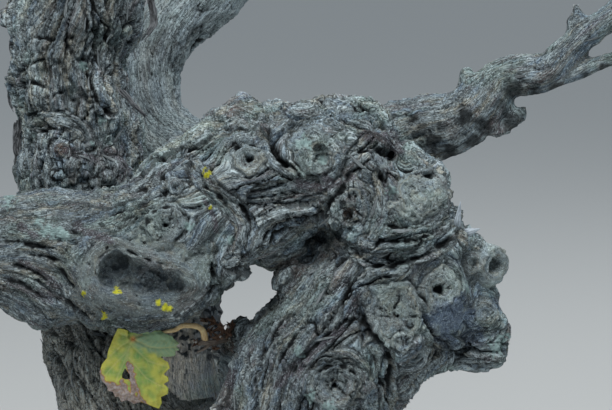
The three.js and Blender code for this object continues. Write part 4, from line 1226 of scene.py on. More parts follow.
class Nodes:
    """A small helper that adds and links shader nodes."""

    def __init__(self, name):
        self.material = bpy.data.materials.new(name)
        self.material.use_nodes = True
        self.tree = self.material.node_tree
        self.shader = self.tree.nodes["Principled BSDF"]

    def add(self, kind, inputs=None, out=0, **settings):
        node = self.tree.nodes.new("ShaderNode" + kind)
        for key, value in settings.items():
            setattr(node, key, value)
        for key, value in (inputs or {}).items():
            self.plug(node.inputs[key], value)
        return node.outputs[out]

    def plug(self, socket, value):
        if isinstance(value, bpy.types.NodeSocket):
            self.tree.links.new(value, socket)
        else:
            socket.default_value = value

    def attribute(self, name, vector=False):
        return self.add("Attribute", attribute_name=name, out=1 if vector else 2)

    def math(self, operation, a, b=0.0):
        return self.add("Math", {0: a, 1: b}, operation=operation)

    def ramp(self, value, low, high, to_low=0.0, to_high=1.0):
        inputs = {"Value": value, "From Min": low, "From Max": high, "To Min": to_low, "To Max": to_high}
        return self.add("MapRange", inputs, interpolation_type="SMOOTHSTEP")

    def mix(self, share, a, b):
        node = self.tree.nodes.new("ShaderNodeMix")
        node.data_type = "RGBA"
        self.plug(node.inputs[0], share)
        for socket, value in ((node.inputs[6], a), (node.inputs[7], b)):
            self.plug(socket, value if isinstance(value, bpy.types.NodeSocket) else (*value, 1))
        return node.outputs[2]

    def scaled(self, vector, scale):
        return self.add("Mapping", {"Vector": vector, "Scale": scale}, vector_type="POINT")

    def noise(self, vector, scale, detail, rough):
        inputs = {"Vector": vector, "Scale": scale, "Detail": detail, "Roughness": rough}
        return self.add("TexNoise", inputs)

    def finish(self, base, roughness, specular, reliefs, strength, distance):
        """Plugs in the surface, with a bump that sums its reliefs, and gives the material."""
        height = 0.0
        for value, share in reliefs:
            height = self.math("ADD", height, self.math("MULTIPLY", value, share))
        bump = self.add("Bump", {"Height": height, "Strength": strength, "Distance": distance})
        inputs = {"Base Color": base, "Roughness": roughness, "Specular IOR Level": specular, "Normal": bump}
        for key, value in inputs.items():
            self.plug(self.shader.inputs[key], value)
        return self.material


# Colours of the stains and lichens. Those with two colours run from the first to the second.
PURPLE_STAIN, BROWN_STAIN = (0.115, 0.085, 0.105), (0.17, 0.085, 0.05)
BLUE_STAIN = (0.085, 0.13, 0.21), (0.15, 0.215, 0.33)
PALE_LICHEN = (0.22, 0.33, 0.33), (0.42, 0.56, 0.55)
YELLOW_LICHEN = (0.42, 0.40, 0.02), (0.78, 0.78, 0.06)


def tint(colour, *shares):
    return tuple(c * share for c, share in zip(colour, shares))


def bark_material(name, light, dark, warm, sharp=1.0):
    n = Nodes(name)
    flow, place = n.attribute("flow", True), n.add("TexCoord", out=3)
    crack, callus, tone, crest = (n.attribute(key) for key in ("crack", "callus", "tone", "crest"))
    purple, blue, brown, yellow, pale = map(n.attribute, ("purple", "blue", "brown", "yellow", "pale"))
    strings = lambda a, b, detail, rough: n.noise(n.scaled(flow, (a, b, b)), 1.0, detail, rough)
    lines = lambda value, width: n.ramp(n.math("ABSOLUTE", n.math("SUBTRACT", value, 0.5)), 0.0, width)
    fibre, hair = strings(0.05, 0.62, 3.0, 0.6), strings(0.13, 1.5, 2.0, 0.6)
    streak, hue = strings(0.02, 0.16, 3.0, 0.5), strings(0.014, 0.1, 4.0, 0.65)
    fine, web = lines(fibre, 0.045), lines(strings(0.11, 0.24, 3.0, 0.65), 0.02)
    grit, patch = n.noise(place, 560.0, 2.0, 0.6), n.noise(place, 30.0, 3.0, 0.55)
    speck, grain = n.noise(place, 210.0, 2.0, 0.6), n.noise(place, 1000.0, 1.0, 0.5)
    sharp = n.ramp(callus, 0.3, 1.0, sharp, sharp * 0.7)
    deep = tint(dark, 0.22, 0.22, 0.22)
    bright = tuple(min(1, c * 1.6) for c in light)
    worn = [(light[0] * k, light[1] * k * 0.98, light[2] * k * 0.85) for k in (0.58, 0.9)]
    # Ridges lighter and furrows darker, the ridges' tops brightest: partly the bark's own colour, partly
    # painted highlight and painted shade.
    base = n.mix(n.ramp(crest, 0.12, 0.8), dark, light)
    for mask, share, colour in (
        (n.ramp(crest, 0.6, 0.9), 0.6, bright),
        (n.ramp(hue, 0.52, 0.62), 0.65, tint(light, 1.3, 1.0, 0.72)),
        (n.ramp(hue, 0.48, 0.38), 0.65, tint(light, 0.52, 0.66, 0.88)),
        (n.ramp(tone, 0.6, 0.2), 0.35, dark),
        (n.ramp(streak, 0.54, 0.66), 0.55, warm),
        (n.ramp(patch, 0.48, 0.64), 0.42, tint(light, 0.84, 1.02, 0.86)),
        (n.ramp(speck, 0.54, 0.68), 0.45, tint(light, 1.15, 1.0, 0.82)),
        (callus, 0.55, n.mix(n.ramp(patch, 0.35, 0.65), *worn)),
        (purple, 0.8, PURPLE_STAIN),
        (blue, 0.85, n.mix(n.ramp(patch, 0.4, 0.6), *BLUE_STAIN)),
        (brown, 0.75, BROWN_STAIN),
    ):
        base = n.mix(n.math("MULTIPLY", mask, share), base, colour)
    # Near the foot the bark is painted earthy and lighter than its own colours: partly earth, partly painted
    # light.
    damp_and_painted_light, earth_and_painted_light = tint(dark, 1.4, 1.12, 0.9), tint(light, 1.4, 1.11, 0.9)
    base = n.mix(n.attribute("low"), base, n.mix(n.ramp(crest, 0.1, 0.7), damp_and_painted_light, earth_and_painted_light))
    # The back arm is painted lighter: partly weathering, partly painted light.
    base = n.mix(n.attribute("weathered_and_painted_light"), base, bright)
    for value, low, high, share, colour in (
        (hair, 0.52, 0.68, 0.62, bright), (hair, 0.46, 0.3, 0.6, deep), (fine, 1.0, 0.0, 0.5, deep),
        (web, 1.0, 0.0, 0.7, deep), (grit, 0.45, 0.3, 0.75, deep),
    ):
        base = n.mix(n.math("MULTIPLY", n.ramp(value, low, high, 0.0, share), sharp), base, colour)
    for mask, colour in (
        (n.math("MULTIPLY", n.ramp(grain, 0.58, 0.72), 0.68), bright),
        # Painted shade and darker wood, from the places above and the mottling on the limbs further back.
        (n.attribute("painted_shade_and_dark_wood"), deep),
        # Cracks, holes and grooves painted near black: partly the bark's own dark, partly painted shade.
        (n.ramp(crack, 0.12, 0.85), tint(deep, 0.5, 0.5, 0.5)),
        (pale, n.mix(grit, *PALE_LICHEN)),
        (yellow, n.mix(grit, *YELLOW_LICHEN)),
    ):
        base = n.mix(mask, base, colour)
    reliefs = (fibre, 0.9), (hair, 0.6), (fine, 0.35), (web, 0.5), (grit, 0.5)
    rough, strength = n.ramp(callus, 0.0, 1.0, 0.95, 0.78), n.ramp(callus, 0.0, 1.0, 0.9, 0.5)
    return n.finish(base, rough, 0.25, reliefs, strength, 0.0026)


BARK = bark_material("vine_bark", (0.36, 0.432, 0.457), (0.126, 0.152, 0.166), (0.185, 0.145, 0.155))
# Pale dead wood, lightened further to near white: painted light on the stub, which lies in the arm's shade.
DEAD_WOOD_PAINTED_LIGHT = bark_material("dead_wood", (0.86, 0.97, 1.0), (0.7, 0.83, 0.95), (0.55, 0.62, 0.7), 0.4)

label, face_place = owner[faces[:, 0]], place[faces[:, 0]]
owned = {name: label == k for k, name in enumerate(NAMES)}
front_limb = owned.pop("front")
groups = {
    "trunk": owned.pop("trunk"),
    "front_stem": front_limb & (face_place < STEM_END),
    "front_head": front_limb & (face_place >= STEM_END) & (face_place < ARM_START),
    "front_arm": front_limb & (face_place >= ARM_START),
    **owned,
}
for mass, (limb_name, _, _) in MASSES.items():
    node = "front_arm" if limb_name == "front" else limb_name
    knuckle = groups[node] & (past_tip[faces[:, 0]] > 1)
    groups[node] &= ~knuckle
    groups[mass] = knuckle

# The wood is earthy near the foot, most of all on the left, and the back arm weathered; both are also painted
# light.
sway = noise(points / 40, 51)
EARTH_AND_LIGHT_FROM, EARTH_AND_LIGHT_TO = 330, 430
left_side = fall(points[:, 0] + 30 * sway, -50, 60)
low = fall(points[:, 2] + 25 * sway, EARTH_AND_LIGHT_FROM, EARTH_AND_LIGHT_TO) * (0.3 + 0.5 * left_side)
low *= 1 - (1 - left_side) * smoothstep(points[:, 2] + 30 * sway, 120, 280)
low[owned_by("front") & (points[:, 2] > EARTH_AND_LIGHT_FROM)] = 0
data = {
    "low": low, "weathered_and_painted_light": 0.5 * owned_by("back_arm"), "flow": flow, "crack": crack, "callus": callus,
    "tone": tone, "crest": crest, "purple": purple, "blue": blue, "brown": brown, "yellow": yellow,
    "pale": pale, "painted_shade_and_dark_wood": painted_shade_and_dark_wood,
}
SLOTS = {"dead_stub": "dead_wood", "right_cane": "cane_bark"} | dict.fromkeys(MASSES, "twigs")
for node, chosen in groups.items():
    material = DEAD_WOOD_PAINTED_LIGHT if node == "dead_stub" else BARK
    show(mesh_piece(node + "_bark", moved, faces[chosen], data), material, SLOTS.get(node, "bark"), node)


class Tubes:
    """Many small closed tubes, joined into one mesh."""

    def __init__(self):
        self.points, self.faces, self.flow, self.count = [], [], [], 0

    def add(self, centres, radii, sides=6, flat=1.0, normal=(0.31, -0.9, 0.2)):
        """A tube round the centres. flat squeezes it along the normal into a ribbon."""
        c = np.array(centres, float)
        radii = np.broadcast_to(radii, len(c))
        t = unit(np.gradient(c, axis=0))
        side = unit(np.cross(t, np.array(normal, float)))
        up = np.cross(side, t)
        turn = np.arange(sides) / sides * 2 * math.pi
        ring = side[:, None] * np.cos(turn)[None, :, None] + flat * up[:, None] * np.sin(turn)[None, :, None]
        self.points.append((c[:, None] + ring * radii[:, None, None]).reshape(-1, 3))
        along = arc_lengths(c)[:, None] + 97.0 * len(self.points)
        flow = np.stack(np.broadcast_arrays(along, turn[None] * radii.mean(), 0.0), 2)
        self.flow.append(flow.reshape(-1, 3))
        i = np.arange(len(c) - 1)[:, None] * sides
        j = np.arange(sides)[None]
        k = (j + 1) % sides
        quads = np.stack([i + k, i + j, i + sides + j, i + sides + k], 2)
        self.faces.append(quads.reshape(-1, 4) + self.count)
        for first, way in ((0, 1), ((len(c) - 1) * sides, -1)):
            for m in range(sides // 2 - 1):
                cap = [m, m + 1, sides - 2 - m, sides - 1 - m]
                self.faces.append(np.array([cap[::way]]) + first + self.count)
        self.count += len(c) * sides

    def piece(self, name, material, slot, node):
        flow = {"flow": np.concatenate(self.flow)}
        made = mesh_piece(name, np.concatenate(self.points), np.concatenate(self.faces), flow)
        show(made, material, slot, node)


def chance(seed):
    """Seeded random numbers, the same as in the solids."""
    state = [seed]

    def draw(low=0.0, high=1.0):
        state[0] = state[0] * 16807 % 2147483647
        return low + (high - low) * state[0] / 2147483647

    return draw


def about(v, axis, angle):
    """The vector v turned about an axis."""
    turned = v * math.cos(angle) + np.cross(axis, v) * math.sin(angle)
    return turned + axis * axis.dot(v) * (1 - math.cos(angle))


# Pruned spurs and canes at the end of each arm, by the same rule as the solids.
SPURS, SPUR_LENGTH, SPUR_RADIUS = 4, (40, 66), 7
CANE_LENGTH, CANE_RADIUS, NODE_SPACING, ZIGZAG = (120, 235), 4.4, 42, 0.13
SPACE_HALF_WIDTH, SPACE_HALF_HEIGHT, SPACE_AHEAD = 165, 200, 150
UP = np.array([0.0, 0.0, 1.0])


def grow_twig(start, direction, length, from_radius, to_radius, towards, zigzag):
    steps = max(2, int(length / NODE_SPACING + 0.5) + 1)
    heading = unit(direction)
    swing = unit(np.cross(heading, UP))
    centre, rings = start, []
    for i in range(steps + 1):
        rings.append((centre, from_radius + (to_radius - from_radius) * i / steps))
        heading = unit(heading + (towards - heading) * 0.12 + swing * (zigzag if i % 2 else -zigzag))
        centre = centre + heading * length / steps
    return rings


def fits(rings, middle):
    for centre, radius in rings[2:]:
        off = (centre - middle) / [SPACE_HALF_WIDTH, SPACE_HALF_WIDTH, SPACE_HALF_HEIGHT]
        if np.linalg.norm(off) > 1:
            return False
        for points in LIMB_POINTS.values():
            p = np.array(points, float)
            if (np.linalg.norm(p[:, :3] - centre, axis=1) <= p[:, 3] + radius + 5).any():
                return False
    return True


def twigs_of(limb_name, seed, towards):
    """The rings of each spur and cane of one mass."""
    random = chance(seed)
    limb = LIMBS[limb_name]
    tip, heading, thick = limb.centre[-1], limb.tangent[-1], limb.radius[-1]
    aim = unit(np.array(towards, float))
    middle = tip + aim * SPACE_AHEAD
    across = unit(np.cross(heading, [0.3, 1, 0.2]))
    for i in range(SPURS):
        turn = (i + random(-0.2, 0.2)) / SPURS * 2 * math.pi
        out = about(across, heading, turn)
        root = tip + heading * KNUCKLE * random(0.4, 0.75)
        spur_way = unit(heading * 0.7 + out + aim * 0.45)
        reach = random(*SPUR_LENGTH) + thick
        spur = grow_twig(root, spur_way, reach, SPUR_RADIUS * 1.3, SPUR_RADIUS, aim, 0.03)
        canes = 2 if random() < 0.55 else 1
        if not fits(spur, middle):
            continue
        yield "spur", spur
        for k in range(canes):
            joint = spur[-1 - k][0] - spur_way * 4
            side = about(out, heading, 1.5 if k else -0.6)
            length = random(*CANE_LENGTH)
            radius = CANE_RADIUS * random(0.85, 1.1)
            way = unit(spur_way + aim + side * 0.7)
            cane = grow_twig(joint, way, length, radius, radius * 0.55, aim, ZIGZAG)
            if fits(cane, middle):
                yield "cane", cane


def smooth_line(places, step):
    """A smooth line through places, with any numbers that go with them."""
    p = np.array(places, float)
    length = np.linalg.norm(np.diff(p[:, :3], axis=0), axis=1).sum()
    t = np.linspace(0, len(p) - 1, max(4, int(length / step)))
    i = np.minimum(t.astype(int), len(p) - 2)
    f = (t - i)[:, None]
    ext = np.vstack([2 * p[0] - p[1], p, 2 * p[-1] - p[-2]])
    a, b, c, d = ext[i], ext[i + 1], ext[i + 2], ext[i + 3]
    return 0.5 * (2 * b + (c - a) * f + (2 * a - 5 * b + 4 * c - d) * f**2 + (3 * b - a - 3 * c + d) * f**3)


rng = np.random.default_rng(5)


def dress(kind, rings, tubes, buds, tendrils):
    """A spur or cane with swollen nodes, and the buds, thin side twigs and tendrils that stand on them."""
    line = smooth_line([(*centre, radius) for centre, radius in rings], 2.5)
    s = arc_lengths(line[:, :3])
    gap = s[-1] / (len(rings) - 1)
    node = np.round(s / gap) * gap
    swell = bell(s - node, 3.2 if kind == "cane" else 6) * (node > gap / 2)
    radius = line[:, 3] * (1 + (0.34 if kind == "cane" else 0.22) * swell)
    lumps = noise(line[:, :3] / 9, 51) * (0.05 if kind == "cane" else 0.16)
    if kind == "spur":
        radius[:4] *= np.linspace(1.35, 1, 4)
    tubes.add(line[:, :3], radius * (1 + lumps), 10)
    if kind == "spur":
        return
    for k in range(1, len(rings)):
        spot = np.searchsorted(s, min(k * gap, s[-1] - 0.1))
        at, way = line[spot, :3], unit(line[min(spot + 1, len(line) - 1), :3] - line[spot - 1, :3])
        side = unit(np.cross(way, [0.2, -1, 0.3]))
        side = about(side, way, 0.5 * math.sin(k * 2.1)) * (1 if k % 2 else -1)
        r = radius[spot]
        bud = unit(side + way * 0.9)
        foot = at + side * r * 0.75
        buds.add([foot + bud * x for x in (-0.5, 1.0, 2.4, 3.9, 5.2)], [1.5, 2.2, 2.0, 1.2, 0.35])
        if k < len(rings) - 1 and rng.random() < 0.42:
            out = unit(side * 0.8 + way + rng.normal(0, 0.2, 3))
            places, length = [foot], rng.uniform(7, 14)
            for _ in range(rng.integers(2, 5)):
                out = unit(out + rng.normal(0, 0.16, 3) + UP * 0.12)
                places.append(places[-1] + out * length)
            twig = smooth_line([(*place, 1.25 - 0.75 * m / len(places)) for m, place in enumerate(places)], 3)
            tubes.add(twig[:, :3], twig[:, 3] + 0.35 * bell(np.arange(len(twig)) % 4, 0.9))
        elif rng.random() < 0.4:
            out = unit(-side + way * 0.5 + rng.normal(0, 0.15, 3))
            other = unit(np.cross(out, way))
            turn = np.linspace(0, rng.uniform(7, 13), 46)
            coil = 3.2 * smoothstep(turn, 0, 4) * (1 - 0.05 * turn)
            path = at - side * r * 0.8 + out * np.minimum(turn * 3.4, 13 + turn)[:, None]
            path = path + other * (coil * np.sin(turn))[:, None] + way * (coil * (1 - np.cos(turn)))[:, None]
            tendrils.add(path, np.linspace(0.75, 0.35, 46))


def cane_material(name, light, dark, size=1.0):
    n = Nodes(name)
    flow = n.attribute("flow", True)
    place = n.add("TexCoord", out=3)
    fibre = n.noise(n.scaled(flow, (0.07 * size, 1.3 * size, 0.5)), 1.0, 3.0, 0.6)
    patch = n.noise(place, 90.0, 3.0, 0.6)
    fleck = n.noise(place, 900.0, 2.0, 0.6)
    base = n.mix(n.ramp(fibre, 0.35, 0.62), dark, light)
    bright = tuple(min(1, c * 1.5) for c in light)
    base = n.mix(n.math("MULTIPLY", n.ramp(patch, 0.5, 0.68), 0.5), base, bright)
    base = n.mix(n.math("MULTIPLY", n.ramp(fleck, 0.6, 0.72), 0.5), base, tint(dark, 0.4, 0.4, 0.4))
    rough = n.ramp(fibre, 0.3, 0.7, 0.85, 0.62)
    return n.finish(base, rough, 0.3, ((fibre, 1.0), (fleck, 0.3)), 0.8, 0.0007)


CANE_BARK = cane_material("cane_bark", (0.255, 0.215, 0.18), (0.105, 0.08, 0.065))
BUD_SCALE = cane_material("bud_scale", (0.19, 0.115, 0.075), (0.07, 0.04, 0.03), 2.0)
TENDRIL = cane_material("tendril", (0.25, 0.20, 0.15), (0.11, 0.08, 0.06), 2.0)
SHRED = cane_material("bark_shred", (0.20, 0.23, 0.24), (0.05, 0.056, 0.06), 1.4)
for mass, (limb_name, seed, towards) in MASSES.items():
    tubes, buds, tendrils = Tubes(), Tubes(), Tubes()
    for kind, rings in twigs_of(limb_name, seed, towards):
        dress(kind, rings, tubes, buds, tendrils)
    grown = ("canes", tubes, CANE_BARK), ("buds", buds, BUD_SCALE), ("tendrils", tendrils, TENDRIL)
    for kind, made, material in grown:
        if made.count:
            made.piece(mass.replace("twigs", kind), material, "twigs", mass)


def on_plane(px, py, y):
    """The point that shows at a place of the picture and lies y mm behind the trunk's middle."""
    side = (np.asarray(px, float) - PICTURE[0] / 2) * PIXEL / DISTANCE
    rise = (PICTURE[1] / 2 - np.asarray(py, float)) * PIXEL / DISTANCE
    way = LOOK + side[..., None] * np.array([1.0, 0.0, 0.0]) + rise[..., None] * RISE
    return EYE + way * ((y - EYE[1]) / way[..., 1])[..., None]


def to_line(points, line):
    """How far points lie from a bent line, and where along it, both in the line's own units."""
    best, along, done = np.full(len(points), 1e9), np.zeros(len(points)), 0.0
    for a, b in zip(line, line[1:]):
        a, b = np.array(a, float), np.array(b, float)
        length = np.linalg.norm(b - a)
        t = np.clip((points - a) @ (b - a) / length**2, 0, 1)
        d = np.linalg.norm(points - a - t[:, None] * (b - a), axis=1)
        along = np.where(d < best, done + t * length, along)
        best = np.minimum(best, d)
        done += length
    return best, along


# The leaf as the picture shows it, in pixels: its toothed outline, a hole, the stalk's end and the veins from
# there, how far apart the side veins are, the fold at its top, and the withered lines with their width.
LEAF_OUTLINE = [
    (118, 328), (114, 336), (112, 341), (108, 351), (107, 358), (102, 364), (99.5, 372), (101, 380),
    (107, 386), (108, 391), (113, 392), (115, 397), (119, 397), (121, 402), (127, 400), (134, 404),
    (141, 402), (149, 405), (159, 409), (162, 403), (161, 397), (168, 394), (168.6, 388), (164, 384),
    (169, 381), (168, 377), (163.5, 374.5), (169.8, 368), (168, 362), (164, 360), (160.5, 356.5),
    (168, 357), (175.5, 355.5), (175.5, 351), (180, 350), (176, 346), (179.5, 343.5), (174, 339),
    (172, 336), (165, 333.5), (160, 330), (159, 324), (152, 326), (145, 325), (138, 325), (133, 327.5),
    (128, 330.5), (123, 329),
]
LEAF_HOLE = [(125, 368), (122, 374), (122, 378), (126, 379.5), (130, 379), (130, 375)]
STALK_END = (133, 339)
VEINS = [
    [STALK_END, (128, 351), (127, 362), (133, 380), (143, 402)], [STALK_END, (121, 334)],
    [STALK_END, (121, 346), (109, 357)], [(128, 351), (113, 366), (103, 378)],
    [(128, 353), (117, 378), (113, 393)], [STALK_END, (150, 347), (160, 348), (177, 347)],
    [(131, 345), (148, 361), (167, 367)], [(129, 358), (146, 378), (164, 388)],
    [STALK_END, (145, 330), (156, 326)],
]
SIDE_VEINS = 5
FOLD = [(131, 338), (142, 333.5), (162, 331.5)]
WITHERED = [
    ([(129, 365), (132, 376), (133, 388), (133, 402)], 4.5), ([(122, 382), (126, 392)], 4),
    ([(98, 374), (102, 384), (111, 393), (121, 400), (131, 403)], 6),
    ([(108, 388), (118, 391), (127, 397), (136, 404)], 7.5), ([(136, 384), (139, 396), (146, 405)], 3),
]
LEAF_DEPTH = -31.0
LEAF_THICKNESS = 0.6


def leaf_piece():
    """A thin closed leaf, folded along its veins, with withered patches and a hole."""
    step = 0.8
    edge = []
    for a, b in zip(LEAF_OUTLINE, LEAF_OUTLINE[1:] + LEAF_OUTLINE[:1]):
        share = np.arange(0, 1, step / math.dist(a, b))[:, None]
        edge.append(np.array(a) + share * (np.array(b) - np.array(a)))
    edge = np.concatenate(edge)
    hole = np.array(LEAF_HOLE, float)
    grid = np.stack(np.meshgrid(np.arange(98, 182, step), np.arange(322, 411, step)), 2).reshape(-1, 2)
    grid = grid + rng.uniform(-0.2, 0.2, grid.shape) * step
    rim, pit = Outline(LEAF_OUTLINE, 8), Outline(LEAF_HOLE, 8)
    grid = grid[(rim.at(*grid.T) < -0.6 * step) & (pit.at(*grid.T) > 0.6 * step)]
    flat = np.concatenate([edge, hole, grid])
    rings = [np.arange(len(edge)), len(edge) + np.arange(len(hole))]
    lines = [(int(a), int(b)) for ring in rings for a, b in zip(ring, np.roll(ring, -1))]
    made = delaunay_2d_cdt([Vector(p) for p in flat.tolist()], lines, [], 0, 1e-5)
    flat = np.array([tuple(v) for v in made[0]])
    tris = np.array(made[2])
    middle = flat[tris].mean(axis=1)
    tris = tris[(rim.at(*middle.T) < 0) & (pit.at(*middle.T) > 0)]
    area = np.cross(flat[tris[:, 1]] - flat[tris[:, 0]], flat[tris[:, 2]] - flat[tris[:, 0]])
    tris[area < 0] = tris[area < 0][:, ::-1]

    near, vein = np.full(len(flat), 1e9), np.zeros(len(flat))
    for line in VEINS:
        d, along = to_line(flat, line)
        length = sum(math.dist(a, b) for a, b in zip(line, line[1:]))
        near = np.minimum(near, d)
        vein = np.maximum(vein, bell(d, 1.15 - 0.65 * along / length))
        comb = np.abs((along - 0.75 * d) / SIDE_VEINS % 1 - 0.5) * SIDE_VEINS * 0.8
        vein = np.maximum(vein, 0.55 * bell(comb, 0.45) * smoothstep(d, 9, 4) * (d > 0.5))
    x, y = flat.T
    flat3 = np.column_stack([flat, np.zeros(len(flat))])
    margin = -rim.at(x, y)
    fold, _ = to_line(flat, FOLD)
    above = smoothstep(fold, 0, 2.5) * (y < 338) * (x > 128) * (y < 337 - 0.2 * (x - 131))
    across = (x - STALK_END[0]) + 0.12 * (y - STALK_END[1])
    depth = np.where(across > 0, 0.10 * across, -0.16 * across)
    depth = depth + 0.0022 * (y - 362) ** 2 * (y > 362)
    depth = depth + 1.6 * smoothstep(margin, 5, 0) - 0.8 * smoothstep(near, 0.2, 3.4) + 0.2 * vein
    depth = depth + 1.3 * noise(flat3 / 11, 61) + 0.35 * noise(flat3 / 3.5, 62) + above * (0.5 * fold + 1.5)
    depth = depth + 2.2 * bell(fold, 2.2) * (x > 128)
    withered = np.zeros(len(flat))
    for line, width in WITHERED:
        d, _ = to_line(flat, line)
        withered = np.maximum(withered, smoothstep(d + 1.6 * noise(flat3 / 4, 63), width, width - 2.5))
    depth = depth + withered * (1.2 * noise(flat3 / 3, 64) + 0.8)
    front = on_plane(x, y, LEAF_DEPTH + depth * PIXEL)
    normal = np.zeros_like(front)
    face = np.cross(front[tris[:, 1]] - front[tris[:, 0]], front[tris[:, 2]] - front[tris[:, 0]])
    for k in range(3):
        np.add.at(normal, tris[:, k], face)
    normal = unit(normal)
    if normal[:, 1].mean() > 0:
        normal, tris = -normal, tris[:, ::-1]
    n = len(flat)
    sides = np.concatenate([tris[:, [0, 1]], tris[:, [1, 2]], tris[:, [2, 0]]])
    seen_edges = {(a, b) for a, b in sides.tolist()}
    rim_faces = [(b, a, a + n, b + n) for a, b in sides.tolist() if (b, a) not in seen_edges]
    points = np.concatenate([front, front - normal * LEAF_THICKNESS])
    faces = [tuple(f) for f in tris.tolist()] + [tuple(f) for f in (tris[:, ::-1] + n).tolist()] + rim_faces
    mottle = noise(flat3 / 8, 65)
    sheen = smoothstep(x * 0.35 - y + 302.5 + 3 * mottle, -1, 6) * (1 - above)
    sheen = sheen * smoothstep(x, 128, 140) * (y < 358) * (y > 328)
    green = smoothstep(margin, 4, 20) * 0.5 + 0.5 * mottle + 0.9 * above + 0.25 * smoothstep(near, 4, 0)
    yellow = np.clip(smoothstep(margin, 10, 0) * 0.8 - 0.5 * mottle, 0, 1) * (1 - above)
    orange = bell(np.hypot(x - STALK_END[0], y - STALK_END[1]), 2.6)
    data = {
        "vein": vein, "green": np.clip(green, 0, 1), "edge": yellow, "withered": withered, "orange": orange,
        "sheen": sheen,
    }
    data = {name: np.tile(values, 2) for name, values in data.items()}
    return leaf_mesh("leaf", points, faces, data)


def leaf_mesh(name, points, faces, attributes):
    mesh = bpy.data.meshes.new(name)
    mesh.from_pydata((points * 0.001).tolist(), [], faces)
    for key, values in attributes.items():
        mesh.attributes.new(key, "FLOAT", "POINT").data.foreach_set("value", values.astype(np.float32))
    mesh.polygons.foreach_set("use_smooth", [True] * len(mesh.polygons))
    return put(name, mesh)


def leaf_material():
    n = Nodes("vine_leaf")
    place = n.add("TexCoord", out=3)
    grain = n.noise(place, 1400.0, 2.0, 0.6)
    cells = n.noise(place, 420.0, 3.0, 0.6)
    # The leaf's greens and yellows are lighter than its own colour: painted light that lifts the arm's shadow
    # on it.
    base = n.mix(n.attribute("green"), (0.43, 0.475, 0.085), (0.19, 0.36, 0.10))
    base = n.mix(n.attribute("edge"), base, (0.61, 0.58, 0.10))
    base = n.mix(n.math("MULTIPLY", n.attribute("sheen"), 0.9), base, (0.25, 0.40, 0.25))
    base = n.mix(n.math("MULTIPLY", n.attribute("vein"), 0.5), base, (0.60, 0.56, 0.22))
    base = n.mix(n.math("MULTIPLY", n.ramp(cells, 0.5, 0.75), 0.35), base, (0.24, 0.24, 0.06))
    withered = n.attribute("withered")
    dry = n.mix(n.ramp(cells, 0.35, 0.65), (0.27, 0.19, 0.15), (0.42, 0.36, 0.34))
    dry = n.mix(n.ramp(withered, 0.6, 0.95), (0.46, 0.22, 0.08), dry)
    base = n.mix(n.ramp(withered, 0.1, 0.6), base, dry)
    base = n.mix(n.attribute("orange"), base, (0.70, 0.25, 0.07))
    n.plug(n.shader.inputs["Subsurface Weight"], 0.12)
    n.plug(n.shader.inputs["Subsurface Radius"], (0.001, 0.0016, 0.0004))
    rough = n.ramp(grain, 0.3, 0.7, 0.42, 0.62)
    return n.finish(base, rough, 0.4, ((cells, 0.8), (grain, 0.5)), 0.6, 0.0005)


show(leaf_piece(), leaf_material(), "leaf", "leaf_shoot")

# The leaf's stalk, the young and the dry shoot, their buds and tufts of bud wool: x and y in the picture, and
# depth and radius in mm.
STALK = [
    (133, 339, -29, 1.0), (148, 334, -27, 1.1), (160, 333, -26, 1.2), (170, 331, -25, 1.5),
    (176, 329.5, -24, 1.8), (181, 326, -24, 2.2), (187, 325.5, -22, 2.1), (197, 326.5, -19, 2.2),
    (203, 331, -15, 2.3), (205, 340, -10, 2.7),
]
SHOOT = [
    (198, 344, -14, 1.9), (204, 342, -11, 2.6), (210, 343, -8, 2.6), (219, 341, -3, 2.3),
    (231, 338, 9, 2.4),
]
DRY_SHOOT = [
    (197, 352, -10, 0.7), (204, 349, -9, 1.1), (212, 343, -7, 1.5), (222, 338.5, -2, 1.6),
    (233, 333, 8, 1.8),
]
BUD_PLACES = [
    (210, 331, -8, 3.6), (222, 328, -2, 4.4), (219, 337, -6, 4.0), (228, 333, 0, 4.6), (196, 343, -14, 3.0),
    (214, 322, 2, 4.0), (232, 326, 4, 4.0), (206, 320, 4, 3.4), (215, 349, -4, 3.0),
]
WOOL_PLACES = [(228, 327, -5, 1.7), (220.5, 337, -9, 1.6), (196, 342, -17, 1.5), (212, 351, -8, 1.3)]
HAIRS, SCALES = 5, 7
stalks, shoots, scales, wool = Tubes(), Tubes(), Tubes(), Tubes()
for px, py, depth, size in WOOL_PLACES:
    heart = on_plane(px, py, depth)
    for _ in range(HAIRS):
        out = unit(rng.normal(0, 1, 3) + [0, -0.8, 0.6])
        tuft = [heart + out * size * t for t in (-0.3, 0.0, 0.4, 0.8)]
        wool.add(tuft, np.array([0.3, 0.6, 0.5, 0.1]) * size)
for places, tubes in ((STALK, stalks), (SHOOT, shoots), (DRY_SHOOT, shoots)):
    x, y, depth, radius = np.array(places, float).T
    line = smooth_line(np.column_stack([on_plane(x, y, depth), radius]), 1.2)
    tubes.add(line[:, :3], line[:, 3] * (1 + 0.1 * noise(line[:, :3] / 5, 71)), 10)
for px, py, depth, size in BUD_PLACES:
    heart = on_plane(px, py, depth)
    for _ in range(SCALES):
        out = unit(rng.normal(0, 1, 3) + [-0.4, -1.1, 0.5])
        bend = unit(rng.normal(0, 1, 3)) * 0.25
        path = [heart + (out * t + bend * t * t) * size * 1.5 for t in (-0.2, 0.1, 0.4, 0.7, 1.0)]
        radii = np.array([0.5, 0.9, 0.8, 0.5, 0.12]) * size * 0.5
        scales.add(path, radii, 8, 0.45, unit(rng.normal(0, 1, 3)))
STALK_SKIN = cane_material("leaf_stalk", (0.80, 0.64, 0.36), (0.55, 0.34, 0.15), 2.0)
